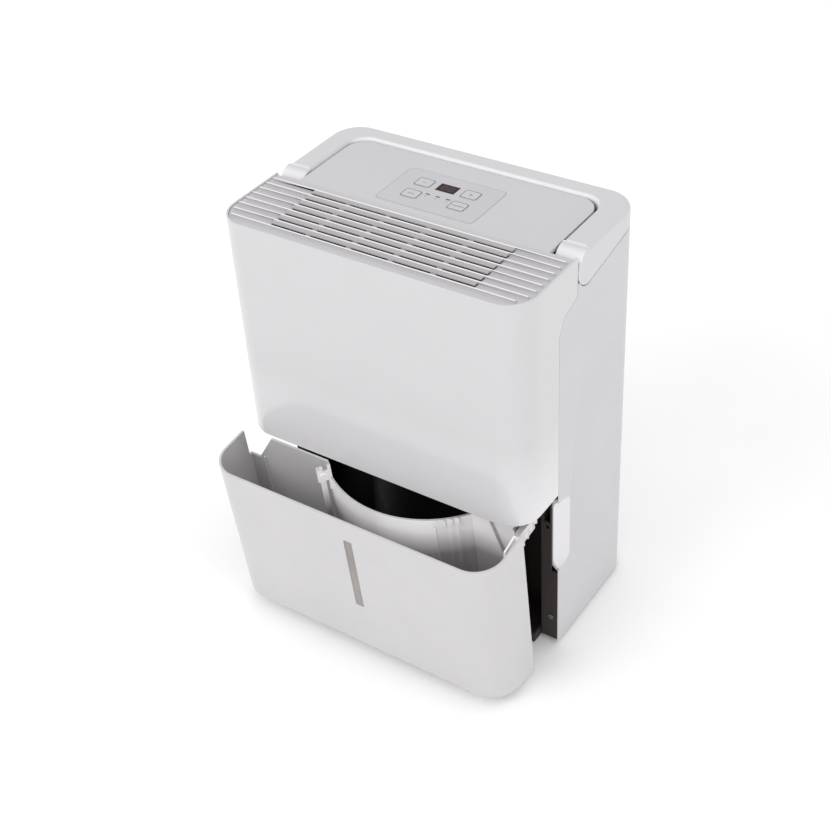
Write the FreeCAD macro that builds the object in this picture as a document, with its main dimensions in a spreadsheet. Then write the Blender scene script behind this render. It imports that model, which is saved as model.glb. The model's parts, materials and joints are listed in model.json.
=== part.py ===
"""Compressor dehumidifier with a tip-out water bucket, a swing carry handle and a rear air filter.

Axes: X to the right, Y to the back, Z up.  The origin is on the floor, under the middle of the
overall bounds.
The sheet measures from the middle of the casing's underside; each finished sub-part is then moved up by the
height of the feet and back by the overhang of the open bucket.
"""
import FreeCAD, Part
import math
import os
import re

import Sketcher

PARTS_FOLDER = "parts"
V = FreeCAD.Vector

DIMENSIONS = {
    "casing": {
        "width": 368, "depth": 244, "height": 500, "corner": 34, "wall": 2.5, "gap": 0.4, "foot_height": 4,
        "split": -50, "cover_low": 224, "cover_top": 498.5, "cover_back": -14, "flare_low": 428,
        "flare_mid": 445, "flare_mid_y": -40, "flare_top": 454, "lip": 8,
        "horn_top": 468, "seam_gap": 0.15, "seam_pivot": 457.3, "seam_back": 479,
        "scoop_low": 111, "scoop_high": 213, "scoop_radius": 66, "scoop_axis_x": 241, "scoop_axis_y": -58,
        "scoop_round": 14, "scoop_block": 14, "scoop_margin": 3, "scoop_run": 30,
    },
    "rear opening and services": {
        "intake_half": 125, "intake_low": 215, "intake_high": 430, "intake_corner": 6, "louvre_count": 15,
        "louvre_pitch": 13, "louvre_thick": 2, "cord_x": 135, "cord_z": 40, "cord_radius": 4,
        "gland_radius": 7.5,
        "drain_x": -135, "drain_z": 30, "drain_radius": 6.5, "plug_radius": 9,
        "screw_radius": 1.7, "screw_head": 3.4, "head_thick": 2.2, "rear_screw_x": 150,
        "rear_screw_low": 60,
        "rear_screw_high": 436, "boss_radius": 6, "boss_long": 6,
    },
    "outlet grille": {
        "grille_low": 494, "grille_plate": 3, "grille_back": -16, "bar_first": -27.5, "bar_pitch": 11.55,
        "bar_count": 8, "bar_width": 2, "bar_inset": 3, "slot_half": 122, "slot_columns": 5, "rib_width": 6,
        "slot_width": 3.5, "slot_back": 6.6, "slat_low": 498, "slat_top": 499.6,
    },
    "control panel": {
        "panel_half": 153, "panel_back": 94.5, "panel_corner": 24, "panel_top": 496.5, "panel_thick": 4.5,
        "sheet_left": -62, "sheet_right": 58, "sheet_front": -6, "sheet_back": 67, "sheet_corner": 6,
        "sheet_thick": 0.6, "keys_x": -2.2, "button_long": 19.5, "button_deep": 16, "button_corner": 3,
        "button_x": 28.7,
        "button_row_back": 43.8, "button_row_front": 17.9, "button_travel": 0.8, "button_stem": 3,
        "window_long": 23, "window_deep": 15, "window_y": 44, "lamp_x": 12.5, "lamp_y": 25,
        "lamp_long": 5, "lamp_deep": 1.6, "board_low": 481, "board_thick": 1.6,
    },
    "carry handle": {
        "pivot_y": 8, "pivot_z": 478.3, "nose": 20.2, "inner_half": 154.8, "inner_back": 96.9,
        "inner_corner": 22, "handle_top": 499, "handle_shell": 3, "solid_nose": 34, "pin_radius": 4,
        "pin_play": 0.06, "pin_inner": 138, "pin_outer": 174,
    },
    "deck": {"deck_low": 446, "deck_thick": 3, "deck_front": -22, "curb_half": 151.5, "curb_wall": 2.5},
    "base": {
        "base_half": 181, "base_thick": 3, "base_rim": 12, "rim_front": 0, "base_front": -47,
        "tongue_half": 161,
        "tongue_front": -64, "tongue_high": 12, "foot_radius": 9, "foot_x": 150, "foot_front": -38,
        "foot_back": 100,
    },
    "bucket bay": {
        "bay_half": 162.5, "flange_step": 108, "slot_inner": 173.4, "slot_low": 179, "slot_high": 216,
        "key_hole_x": 170, "key_hole_z": 172, "sink": 1.2, "bay_back": -6, "bay_wall": 2.5,
        "bay_high": 221, "flange_outer": 182.8, "flange_narrow": 175, "flange_low": 3.4, "bulge_x": 10,
        "bulge_y": 50, "bulge_radius": 121, "bulge_wall": 2.5, "flange_screw_x": 175, "flange_screw_z": 37,
        "ceiling_front": -110,
    },
    "bucket": {
        "tip": 5.5, "out_y": -175, "out_z": 13.4, "bucket_high": 204.5, "bucket_drop": 18,
        "bucket_half": 183.4,
        "bucket_deep": 70.5, "floor_low": 2, "floor_thick": 2.5, "arc_x": 10, "arc_y": 170,
        "arc_radius": 125,
        "arc_high": 184.5, "notch_low": 166.5, "notch_inner": 144, "notch_outer": 168,
        "pod_inner": 80, "pod_outer": 161, "pod_back": 91.5, "pod_step": 5, "crease_top": 121,
        "crease_low": 143.5, "crease_level": 133,
        "window_x": 5, "window_half": 5.5, "window_low": 69, "window_high": 175,
        "ear_inner": 166, "ear_outer": 172.6, "ear_deep": 118, "ear_front": 58, "ear_low": 164,
        "ear_high": 190,
        "ear_root": 146, "ear_rise": 6, "ear_step": 9,
        "hinge_y": 48, "hinge_z": -5, "skid_x": 120, "skid_half": 9, "lug_wall": 3, "lug_gap": 0.5,
        "skid_round": 6.3, "trunnion": 3, "trunnion_play": 0.06,
    },
    "float": {
        "float_x": -67.5, "float_y": 59, "float_z": 190, "float_turn": -124.7, "float_pin": 1.5,
        "arm_long": 90,
        "float_tall": 38,
    },
    "machine": {
        "compressor_x": 18, "compressor_y": 50, "compressor_radius": 54, "compressor_low": 15,
        "compressor_high": 168, "coil_half": 108, "coil_low": 236, "coil_high": 416, "evaporator_y": 78,
        "condenser_y": 48, "coil_deep": 22, "fin_count": 18, "fin_thick": 0.8, "tube_radius": 4,
        "filter_back": 112, "fan_z": 338, "wheel_radius": 78, "wheel_front": -56,
        "wheel_back": 6, "blade_count": 30, "blade_long": 13, "hub_radius": 14, "shaft_radius": 4,
        "shaft_play": 0.05, "motor_radius": 38, "motor_front": -99, "motor_back": -64, "scroll_front": -101,
        "scroll_back": 20, "scroll_radius": 92, "scroll_wall": 2, "duct_half": 126, "duct_front": -112,
        "duct_back": -30, "duct_low": 436, "duct_high": 492, "inlet_radius": 68,
    },
}

doc = FreeCAD.newDocument("Dehumidifier")
sheet = doc.addObject("Spreadsheet::Sheet", "Dims")
ALIASES = [alias for group in DIMENSIONS.values() for alias in group]
WORD = re.compile(r"\b[a-z][a-z_]*\b")
SUBPARTS = {}


def fill_sheet():
    """Write one row per driving dimension: its name, its value and the alias that names the cell."""
    row = 1
    for title, group in DIMENSIONS.items():
        sheet.set(f"A{row}", title)
        for alias, number in group.items():
            row += 1
            sheet.set(f"A{row}", alias)
            sheet.set(f"B{row}", str(number))
            sheet.setAlias(f"B{row}", alias)
        row += 2
    doc.recompute()


def bound(text):
    """Point every dimension name in a formula at its cell in the sheet."""
    return WORD.sub(lambda word: f"Dims.{word.group()}" if word.group() in ALIASES else word.group(),
                    str(text))


def value(text):
    return float(sheet.evalExpression(bound(text)))


def bind(item, formulas):
    for place, text in formulas.items():
        item.setExpression(place, bound(text))
    return item


MIDDLE_Y = "(bucket_high * sin(tip) - out_y - depth/2) / 2"


def keep(item, name, tipped=False):
    """Register a finished sub-part at its place; what belongs to the bucket is tipped with it."""
    item.Label = name
    if tipped:
        item.Placement = FreeCAD.Placement(V(0, 0, 0), FreeCAD.Rotation(V(1, 0, 0), 1))
        bind(item, {"Placement.Rotation.Angle": "tip", "Placement.Base.y": f"out_y + {MIDDLE_Y}",
                    "Placement.Base.z": "out_z + foot_height"})
    else:
        bind(item, {"Placement.Base.y": MIDDLE_Y, "Placement.Base.z": "foot_height"})
    SUBPARTS[name] = item
    return item


# ---------------------------------------------------------------- primitives and booleans

def block(name, x, y, z):
    """A straight block between two bounds on each axis."""
    item = doc.addObject("Part::Box", name)
    return bind(item, {"Placement.Base.x": x[0], "Placement.Base.y": y[0], "Placement.Base.z": z[0],
                       "Length": f"({x[1]}) - ({x[0]})", "Width": f"({y[1]}) - ({y[0]})",
                       "Height": f"({z[1]}) - ({z[0]})"})


TURNS = {"X": FreeCAD.Rotation(V(0, 1, 0), 90), "Y": FreeCAD.Rotation(V(1, 0, 0), -90),
         "Z": FreeCAD.Rotation()}


def rod(name, axis, start, radius, length):
    """A cylinder that starts at a point and runs along the positive axis."""
    item = doc.addObject("Part::Cylinder", name)
    item.Placement = FreeCAD.Placement(V(0, 0, 0), TURNS[axis])
    return bind(item, {"Placement.Base.x": start[0], "Placement.Base.y": start[1],
                       "Placement.Base.z": start[2], "Radius": radius, "Height": length})


def fuse(name, *items):
    item = doc.addObject("Part::MultiFuse", name)
    item.Shapes = list(items)
    return item


def group(name, *items):
    item = doc.addObject("Part::Compound", name)
    item.Links = list(items)
    return item


def cut(name, base, *tools):
    item = doc.addObject("Part::Cut", name)
    item.Base = base
    item.Tool = tools[0] if len(tools) == 1 else fuse(f"{name}_tools", *tools)
    return item


def common(name, base, tool):
    item = doc.addObject("Part::Common", name)
    item.Base = base
    item.Tool = tool
    return item


# ---------------------------------------------------------------- sketched bodies

def new_body(name):
    return doc.addObject("PartDesign::Body", name)


def pin_point(sketch, geometry, position, corner):
    """Hold a point of the sketch at its two coordinates from the sheet."""
    for kind, text in (("DistanceX", corner[0]), ("DistanceY", corner[1])):
        index = sketch.addConstraint(Sketcher.Constraint(kind, -1, 1, geometry, position, value(text)))
        sketch.setExpression(f"Constraints[{index}]", bound(text))


def round_corner(sketch, lines, ends, corner, place, centre):
    """Join two sides with a tangent arc, hung on the sharp corner that it replaces."""
    radius = value(corner[2])
    middle = centre + (place - centre).normalize() * radius
    arc = sketch.addGeometry(Part.Arc(ends[0], middle, ends[1]))
    arc_ends = [sketch.getPoint(arc, end) for end in (1, 2)]
    starts_here = arc_ends[0].distanceToPoint(ends[0]) < arc_ends[1].distanceToPoint(ends[0])
    first, last = (1, 2) if starts_here else (2, 1)
    sharp = sketch.addGeometry(Part.Point(place), True)
    sketch.addConstraint(Sketcher.Constraint("PointOnObject", sharp, 1, lines[0]))
    sketch.addConstraint(Sketcher.Constraint("PointOnObject", sharp, 1, lines[1]))
    sketch.addConstraint(Sketcher.Constraint("Tangent", lines[0], 2, arc, first))
    sketch.addConstraint(Sketcher.Constraint("Tangent", lines[1], 1, arc, last))
    index = sketch.addConstraint(Sketcher.Constraint("Radius", arc, radius))
    sketch.setExpression(f"Constraints[{index}]", bound(corner[2]))
    pin_point(sketch, sharp, 1, corner)


def outline(*corners):
    """A closed run of straight sides; a corner with a third entry is rounded by that radius."""
    def draw(sketch):
        places = [V(value(corner[0]), value(corner[1]), 0) for corner in corners]
        count = len(places)
        ends, centres = [], []
        for index, here in enumerate(places):
            radius = value(corners[index][2]) if len(corners[index]) > 2 else 0
            before = (places[index - 1] - here).normalize()
            after = (places[(index + 1) % count] - here).normalize()
            half_turn = before.getAngle(after) / 2
            reach = radius / math.tan(half_turn)
            ends.append((here + before * reach, here + after * reach))
            centres.append(here + (before + after).normalize() * (radius / math.sin(half_turn)))
        lines = [sketch.addGeometry(Part.LineSegment(ends[index][1], ends[(index + 1) % count][0]))
                 for index in range(count)]
        for index, corner in enumerate(corners):
            if len(corner) > 2:
                sides = (lines[index - 1], lines[index])
                round_corner(sketch, sides, ends[index], corner, places[index], centres[index])
            else:
                sketch.addConstraint(Sketcher.Constraint("Coincident", lines[index - 1], 2, lines[index],
                                                         1))
                pin_point(sketch, lines[index], 1, corner)
    return draw


def ring(x, y, radius):
    """A circle about a point of the sketch."""
    def draw(sketch):
        circle = sketch.addGeometry(Part.Circle(V(value(x), value(y), 0), V(0, 0, 1), value(radius)))
        index = sketch.addConstraint(Sketcher.Constraint("Radius", circle, value(radius)))
        sketch.setExpression(f"Constraints[{index}]", bound(radius))
        pin_point(sketch, circle, 3, (x, y))
    return draw


def sketch_on(body, name, plane, offset, *drawings):
    sketch = body.newObject("Sketcher::SketchObject", name)
    origin_plane = next(item for item in body.Origin.OriginFeatures if item.Role == f"{plane}_Plane")
    sketch.AttachmentSupport = [(origin_plane, "")]
    sketch.MapMode = "FlatFace"
    bind(sketch, {"AttachmentOffset.Base.z": offset})
    for draw in drawings:
        draw(sketch)
    return sketch


def pad(body, name, plane, start, length, *drawings):
    """Add a prism that starts at an offset from the plane and grows along the plane's normal."""
    feature = body.newObject("PartDesign::Pad", name)
    feature.Profile = sketch_on(body, f"{name}_sketch", plane, start, *drawings)
    bind(feature, {"Length": length})
    doc.recompute()
    return feature


def pocket(body, name, plane, start, length, *drawings):
    """Remove a prism that starts at an offset from the plane and grows along the plane's normal."""
    before = body.Shape.Volume
    feature = body.newObject("PartDesign::Pocket", name)
    feature.Profile = sketch_on(body, f"{name}_sketch", plane, start, *drawings)
    feature.Reversed = True
    bind(feature, {"Length": length})
    doc.recompute()
    if body.Shape.Volume > before - 0.1:
        raise RuntimeError(f"{name} removes nothing from {body.Name}")
    return feature


def drum(name, x, y, low, high, radius, corner):
    """An upright round solid with rounded rims, turned about its own axis."""
    body = new_body(name)
    feature = body.newObject("PartDesign::Revolution", f"{name}_turn")
    sketch = sketch_on(body, f"{name}_sketch", "XZ", "0", outline(
        ("0", low), (radius, low, corner), (radius, high, corner), ("0", high)))
    feature.Profile = sketch
    feature.ReferenceAxis = (sketch, ["V_Axis"])
    feature.Angle = 360
    doc.recompute()
    return bind(body, {"Placement.Base.x": x, "Placement.Base.y": y})


def box_outline(left, right, low, high, radius=None):
    tail = (radius,) if radius else ()
    return outline((left, low) + tail, (right, low) + tail, (right, high) + tail, (left, high) + tail)


# ---------------------------------------------------------------- casing and covers

def rear_casing():
    body = new_body("rear_casing")
    pad(body, "shell", "XY", "0", "seam_back + 1", outline(
        ("-width/2", "split"), ("width/2", "split"),
        ("width/2", "depth/2", "corner"), ("-width/2", "depth/2", "corner")))
    pocket(body, "hollow", "XY", "-1", "seam_back + 3", outline(
        ("-width/2 + wall", "split - 1"), ("width/2 - wall", "split - 1"),
        ("width/2 - wall", "depth/2 - wall", "corner - wall"),
        ("-width/2 + wall", "depth/2 - wall", "corner - wall")))
    pocket(body, "top_line", "YZ", "-width/2 - 1", "width + 2", outline(
        ("split - 1", "flare_low"), ("split", "flare_low"), ("flare_mid_y", "flare_mid"),
        ("cover_back + gap", "flare_top"), ("cover_back + gap", "horn_top"), ("pivot_y", "horn_top"),
        ("pivot_y", "seam_pivot"), ("depth/2 + 1", "seam_back"), ("depth/2 + 1", "height"),
        ("split - 1", "height")))
    pocket(body, "nose_seats", "YZ", "-width/2 - 1", "width + 2",
           ring("pivot_y", "pivot_z", "nose + 2 * gap"))
    back_start = "-depth/2 - 1"
    pocket(body, "intake_opening", "XZ", back_start, "wall + 2",
           box_outline("-intake_half", "intake_half", "intake_low", "intake_high", "intake_corner"))
    pocket(body, "service_holes", "XZ", back_start, "wall + 2",
           ring("cord_x", "cord_z", "gland_radius"), ring("drain_x", "drain_z", "drain_radius"))
    corners = [(side, level) for side in ("-rear_screw_x", "rear_screw_x")
               for level in ("rear_screw_low", "rear_screw_high")]
    pad(body, "screw_bosses", "XZ", "wall - depth/2 - 0.1", "boss_long",
        *[ring(side, level, "boss_radius") for side, level in corners])
    pocket(body, "screw_seats", "XZ", back_start, "wall + 0.9",
           *[ring(side, level, "screw_head + gap") for side, level in corners])
    pocket(body, "screw_bores", "XZ", back_start, "wall + boss_long + 2",
           *[ring(side, level, "screw_radius + 0.1") for side, level in corners])
    pocket(body, "flange_seat", "XY", "-1", "cover_low - 1", box_outline(
        "-flange_outer - gap", "flange_outer + gap", "split - 1", "split + bay_wall + gap"))
    walls, tools = [], []
    for side, x in (("left", "-scoop_axis_x"), ("right", "scoop_axis_x")):
        sign = "-1" if side == "left" else "1"
        margin = "scoop_low - scoop_margin", "scoop_high + scoop_margin"
        jacket = drum(f"scoop_jacket_{side}", x, "scoop_axis_y", *margin, "scoop_radius + wall",
                      "scoop_round")
        inner, outer = f"{sign} * (width/2 - scoop_block)", f"{sign} * (width/2 - wall/2)"
        span = (outer, inner) if side == "left" else (inner, outer)
        walls.append(common(f"scoop_wall_{side}", jacket, block(
            f"scoop_limit_{side}", span, ("split + 3", "split + scoop_run"), margin)))
        tools.append(drum(f"scoop_{side}", x, "scoop_axis_y", "scoop_low", "scoop_high", "scoop_radius",
                          "scoop_round"))
    keep(cut("casing_cut", fuse("casing_solid", body, *walls), *tools), "rear_casing")


def front_cover():
    body = new_body("front_cover")
    pad(body, "shell", "XY", "cover_low", "cover_top - cover_low", outline(
        ("-width/2", "-depth/2", "corner"), ("width/2", "-depth/2", "corner"),
        ("width/2", "cover_back"), ("-width/2", "cover_back")))
    pocket(body, "hollow", "XY", "cover_low + wall", "cover_top", outline(
        ("wall - width/2", "wall - depth/2", "corner - wall"),
        ("width/2 - wall", "wall - depth/2", "corner - wall"),
        ("width/2 - wall", "cover_back + 1"), ("wall - width/2", "cover_back + 1")))
    pocket(body, "bottom_opening", "XY", "cover_low - 1", "wall + 2", outline(
        ("wall + lip - width/2", "wall + lip - depth/2", "corner - wall - lip"),
        ("width/2 - wall - lip", "wall + lip - depth/2", "corner - wall - lip"),
        ("width/2 - wall - lip", "cover_back + 1"), ("wall + lip - width/2", "cover_back + 1")))
    pocket(body, "back_line", "YZ", "-width/2 - 1", "width + 2", outline(
        ("split - seam_gap", "cover_low - 1"), ("split - seam_gap", "flare_low - seam_gap"),
        ("flare_mid_y - seam_gap", "flare_mid + seam_gap"), ("cover_back", "flare_top + seam_gap"),
        ("0", "flare_top + seam_gap"), ("0", "cover_low - 1")))
    keep(body, "front_cover")


def grille_plan(inset):
    half = f"width/2 - wall - 0.3 - {inset}"
    front = f"wall + 0.3 + {inset} - depth/2"
    radius = f"corner - wall - 0.3 - {inset}"
    return outline((f"-({half})", front, radius), (half, front, radius), (half, "grille_back"),
                   (f"-({half})", "grille_back"))


def outlet_grille():
    plate = new_body("grille_plate")
    pad(plate, "plate", "XY", "grille_low", "grille_plate", grille_plan("0"))
    limit = new_body("bar_limit")
    pad(limit, "bars_end_here", "XY", "grille_low", "height - grille_low", grille_plan("bar_inset"))
    bars, slots = [], []
    column = "(2 * slot_half + rib_width) / slot_columns"
    starts = [f"-slot_half + {index} * {column}" for index in range(int(value("slot_columns")))]
    for index, left in enumerate(starts):
        slots.append(block(f"well_{index}", (left, f"{left} + {column} - rib_width"),
                           ("bar_first - (bar_count - 1) * bar_pitch + bar_width/2",
                            "bar_first - bar_width/2"),
                           ("grille_low - 1", "slat_low")))
    for row in range(int(value("bar_count"))):
        ridge = f"bar_first - {row} * bar_pitch"
        bars.append(block(f"bar_{row}", ("-width/2", "width/2"),
                          (f"{ridge} - bar_width/2", f"{ridge} + bar_width/2"),
                          ("grille_low + grille_plate - 1", "height")))
        if row == value("bar_count") - 1:
            continue
        edge = f"{ridge} - slot_back"
        bars.append(block(f"slat_{row}", ("-slot_half", "slot_half"), (edge, ridge),
                          ("grille_low + grille_plate - 1", "slat_top")))
        for index, left in enumerate(starts):
            slots.append(block(f"slot_{row}_{index}", (left, f"{left} + {column} - rib_width"),
                               (f"{edge} - slot_width", edge), ("grille_low - 1", "height + 1")))
    raised = common("raised_bars", fuse("all_bars", *bars), limit)
    keep(cut("grille_cut", fuse("grille_solid", plate, raised), *slots), "outlet_grille")


BUTTONS = {
    "button_down": ("keys_x - button_x", "button_row_back"),
    "button_up": ("keys_x + button_x", "button_row_back"),
    "button_mode": ("keys_x - button_x", "button_row_front"),
    "button_power": ("keys_x + button_x", "button_row_front"),
}


def button_outline(centre, margin):
    x, y = centre
    return box_outline(f"{x} - button_long/2 - {margin}", f"{x} + button_long/2 + {margin}",
                       f"{y} - button_deep/2 - {margin}", f"{y} + button_deep/2 + {margin}",
                       "button_corner")


def lamp_outlines(margin):
    return [box_outline(f"keys_x + {side} * lamp_x - lamp_long/2 - {margin}",
                        f"keys_x + {side} * lamp_x + lamp_long/2 + {margin}",
                        f"lamp_y - lamp_deep/2 - {margin}", f"lamp_y + lamp_deep/2 + {margin}")
            for side in (-1, 0, 1)]


def window_outline(margin):
    return box_outline(f"keys_x - window_long/2 - {margin}", f"keys_x + window_long/2 + {margin}",
                       f"window_y - window_deep/2 - {margin}", f"window_y + window_deep/2 + {margin}")


def control_panel():
    panel = new_body("control_panel")
    pad(panel, "plate", "XY", "panel_top - panel_thick", "panel_thick", outline(
        ("-panel_half", "grille_back + gap"), ("panel_half", "grille_back + gap"),
        ("panel_half", "panel_back", "panel_corner"), ("-panel_half", "panel_back", "panel_corner")))
    pocket(panel, "sheet_recess", "XY", "panel_top - sheet_thick", "sheet_thick + 1",
           box_outline("sheet_left - 0.2", "sheet_right + 0.2", "sheet_front - 0.2", "sheet_back + 0.2",
                       "sheet_corner"))
    openings = [button_outline(centre, "0.3") for centre in BUTTONS.values()]
    pocket(panel, "openings", "XY", "panel_top - panel_thick - 1", "panel_thick + 2",
           *openings, window_outline("0.1"), *lamp_outlines("0.1"))
    keep(panel, "control_panel")

    overlay = new_body("control_membrane")
    pad(overlay, "film", "XY", "panel_top - sheet_thick + 0.05", "sheet_thick", box_outline(
        "sheet_left", "sheet_right", "sheet_front", "sheet_back", "sheet_corner"))
    pocket(overlay, "film_openings", "XY", "panel_top - sheet_thick - 1", "sheet_thick + 3",
           *[button_outline(centre, "0.3") for centre in BUTTONS.values()],
           window_outline("0.1"), *lamp_outlines("0.1"))
    keep(overlay, "control_membrane")

    for name, centre in BUTTONS.items():
        key = new_body(name)
        top = "panel_top + 0.5"
        pad(key, f"{name}_cap", "XY", "panel_top - panel_thick", f"{top} - panel_top + panel_thick",
            button_outline(centre, "0"))
        pad(key, f"{name}_stem", "XY", "board_low + board_thick + 3.2 + button_travel + 0.3",
            "panel_top - panel_thick - board_low - board_thick - 3.4 - button_travel",
            ring(centre[0], centre[1], "button_stem"))
        keep(key, name)


def display_and_board():
    lens = new_body("display_window")
    pad(lens, "lens", "XY", "panel_top - panel_thick", "panel_thick + 0.2", window_outline("0"))
    keep(lens, "display_window")
    lamps = [new_body(f"lamp_{index}") for index in range(3)]
    for lamp, shape in zip(lamps, lamp_outlines("0")):
        pad(lamp, f"{lamp.Name}_pipe", "XY", "board_low + board_thick + 0.2",
            "panel_top - board_low - board_thick", shape)
    keep(group("lamp_group", *lamps), "indicator_lights")
    board = new_body("control_board")
    pad(board, "laminate", "XY", "board_low", "board_thick", box_outline("-66", "66", "-2", "64", "2"))
    pocket(board, "board_holes", "XY", "board_low - 1", "board_thick + 2",
           ring("-61", "31", "1.6"), ring("61", "31", "1.6"))
    pad(board, "digit_block", "XY", "board_low + board_thick", "6", window_outline("-1"))
    pad(board, "processor", "XY", "board_low + board_thick", "2", box_outline("-8", "8", "4", "16"))
    keep(board, "control_board")
    switches = []
    for name, (x, y) in BUTTONS.items():
        base = "board_low + board_thick"
        body = block(f"{name}_switch", (f"{x} - 3", f"{x} + 3"), (f"{y} - 3", f"{y} + 3"),
                     (base, f"{base} + 2.2"))
        dome = rod(f"{name}_dome", "Z", (x, y, f"{base} + 2.1"), "1.7", "1.1")
        switches.append(fuse(f"{name}_contact", body, dome))
    keep(group("switch_group", *switches), "tact_switches")


def carry_handle():
    body = new_body("carry_handle")
    arm_front = "pivot_y - nose"
    low = "seam_pivot - 3"
    pad(body, "loop", "XY", low, f"handle_top - ({low})", outline(
        ("-width/2", arm_front), ("-inner_half", arm_front), ("-inner_half", "inner_back", "inner_corner"),
        ("inner_half", "inner_back", "inner_corner"), ("inner_half", arm_front), ("width/2", arm_front),
        ("width/2", "depth/2", "corner"), ("-width/2", "depth/2", "corner")))
    pocket(body, "underside", "XY", low, f"handle_top - handle_shell - ({low})", outline(
        ("handle_shell - width/2", "solid_nose"), ("-inner_half - handle_shell", "solid_nose"),
        ("-inner_half - handle_shell", "inner_back + handle_shell", "inner_corner + handle_shell"),
        ("inner_half + handle_shell", "inner_back + handle_shell", "inner_corner + handle_shell"),
        ("inner_half + handle_shell", "solid_nose"), ("width/2 - handle_shell", "solid_nose"),
        ("width/2 - handle_shell", "depth/2 - handle_shell", "corner - handle_shell"),
        ("handle_shell - width/2", "depth/2 - handle_shell", "corner - handle_shell")))
    pocket(body, "bottom_line", "YZ", "-width/2 - 1", "width + 2", outline(
        ("-30", "seam_pivot - 10"), ("-30", "seam_pivot + 2 * gap"), ("pivot_y", "seam_pivot + 2 * gap"),
        ("depth/2 + 1", "seam_back + 2 * gap"), ("depth/2 + 1", "seam_pivot - 10")))
    nose = rod("handle_nose", "X", ("-width/2 - 2", "pivot_y", "pivot_z"), "nose", "width + 4")
    ahead = block("ahead_of_pivot", ("-width/2 - 1", "width/2 + 1"), ("pivot_y - nose - 5", "pivot_y"),
                  ("seam_pivot - 12", "height + 5"))
    bores = [rod(f"pin_bore_{side}", "X", (start, "pivot_y", "pivot_z"), "pin_radius + pin_play",
                 "pin_outer + 2 - inner_half")
             for side, start in (("left", "-pin_outer - 1"), ("right", "inner_half - 1"))]
    shaped = cut("handle_shaped", body, cut("nose_waste", ahead, nose), *bores)
    keep(shaped, "carry_handle")
    pins = [rod(f"handle_pin_{side}", "X", (start, "pivot_y", "pivot_z"), "pin_radius",
                "pin_outer - pin_inner")
            for side, start in (("left", "-pin_outer"), ("right", "pin_inner"))]
    keep(group("handle_pin_pair", *pins), "handle_pins")


def top_deck():
    body = new_body("top_deck")
    pad(body, "deck", "XY", "deck_low", "deck_thick", outline(
        ("0.5 + wall - width/2", "deck_front"), ("width/2 - wall - 0.5", "deck_front"),
        ("width/2 - wall - 0.5", "depth/2 - wall - 0.5", "corner - wall - 0.5"),
        ("0.5 + wall - width/2", "depth/2 - wall - 0.5", "corner - wall - 0.5")))
    curb_front = "grille_back + 3"
    pad(body, "curb", "XY", "deck_low", "panel_top - panel_thick - deck_low",
        outline(("-curb_half", curb_front), ("curb_half", curb_front),
                ("curb_half", "panel_back - 1.5", "panel_corner"),
                ("-curb_half", "panel_back - 1.5", "panel_corner")),
        outline(("curb_wall - curb_half", f"{curb_front} + curb_wall"),
                ("curb_half - curb_wall", f"{curb_front} + curb_wall"),
                ("curb_half - curb_wall", "panel_back - 1.5 - curb_wall", "panel_corner - curb_wall"),
                ("curb_wall - curb_half", "panel_back - 1.5 - curb_wall", "panel_corner - curb_wall")))
    for side in (-1, 1):
        pad(body, f"pin_boss_{'left' if side < 0 else 'right'}", "YZ",
            "-curb_half + 1" if side < 0 else "pin_inner - 3", "curb_half - pin_inner + 2",
            ring("pivot_y", "pivot_z", "pin_radius + 5"))
    pocket(body, "pin_seats", "YZ", "-width/2", "width", ring("pivot_y", "pivot_z", "pin_radius + 0.02"))
    pad(body, "board_posts", "XY", "deck_low + 1", "board_low - deck_low - 1.05",
        ring("-61", "31", "4"), ring("61", "31", "4"))
    keep(body, "top_deck")


# ---------------------------------------------------------------- base, feet and bucket bay

def base_pan():
    body = new_body("base_pan")
    pad(body, "floor", "XY", "0.2", "base_thick", outline(
        ("-base_half", "base_front"), ("base_half", "base_front"),
        ("base_half", "depth/2 - wall - 0.4", "corner - wall"),
        ("-base_half", "depth/2 - wall - 0.4", "corner - wall")))
    inner, back = "base_half - 2.5", "depth/2 - wall - 2.9"
    pad(body, "rim", "XY", "0.2", "base_rim", outline(
        ("-base_half", "rim_front"), (f"-({inner})", "rim_front"),
        (f"-({inner})", back, "corner - wall - 2.5"),
        (inner, back, "corner - wall - 2.5"), (inner, "rim_front"), ("base_half", "rim_front"),
        ("base_half", "depth/2 - wall - 0.4", "corner - wall"),
        ("-base_half", "depth/2 - wall - 0.4", "corner - wall")))
    pad(body, "tongue", "XY", "0.2", "tongue_high",
        box_outline("-tongue_half", "tongue_half", "tongue_front", "base_front + 2"))
    pocket(body, "tongue_hollow", "XY", "base_thick", "tongue_high",
           box_outline("3 - tongue_half", "tongue_half - 3", "tongue_front + 3", "base_front + 8"))
    round_floor = rod("bulge_floor", "Z", ("bulge_x", "bulge_y", "0.2"), "bulge_radius", "base_thick - 0.2")
    front_half = block("bulge_front", ("-width/2", "width/2"), ("-depth/2", "base_front + 1"),
                       ("0", "base_thick"))
    drain = rod("drain_hole", "Y", ("drain_x", "depth/2 - wall - 8", "drain_z - 22"), "2", "12")
    relief_rod = rod("relief_rod", "Z", ("bulge_x", "bulge_y", "base_thick"), "bulge_radius + gap",
                     "base_rim")
    relief = common("relief", relief_rod,
                    block("relief_limit", ("-width/2", "width/2"), ("-depth/2", "rim_front - 1"),
                                                ("0", "base_rim + 9")))
    keep(cut("base_cut", fuse("base_solid", body, common("bulge_pad", round_floor, front_half)), drain,
             relief), "base_pan")
    feet = []
    for side in ("-foot_x", "foot_x"):
        for place in ("foot_front", "foot_back"):
            label = f"foot_{len(feet)}"
            disc = rod(f"{label}_disc", "Z", (side, place, "-foot_height"), "foot_radius",
                       "foot_height + 0.1")
            feet.append(disc)
    keep(group("foot_group", *feet), "rubber_feet")


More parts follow.
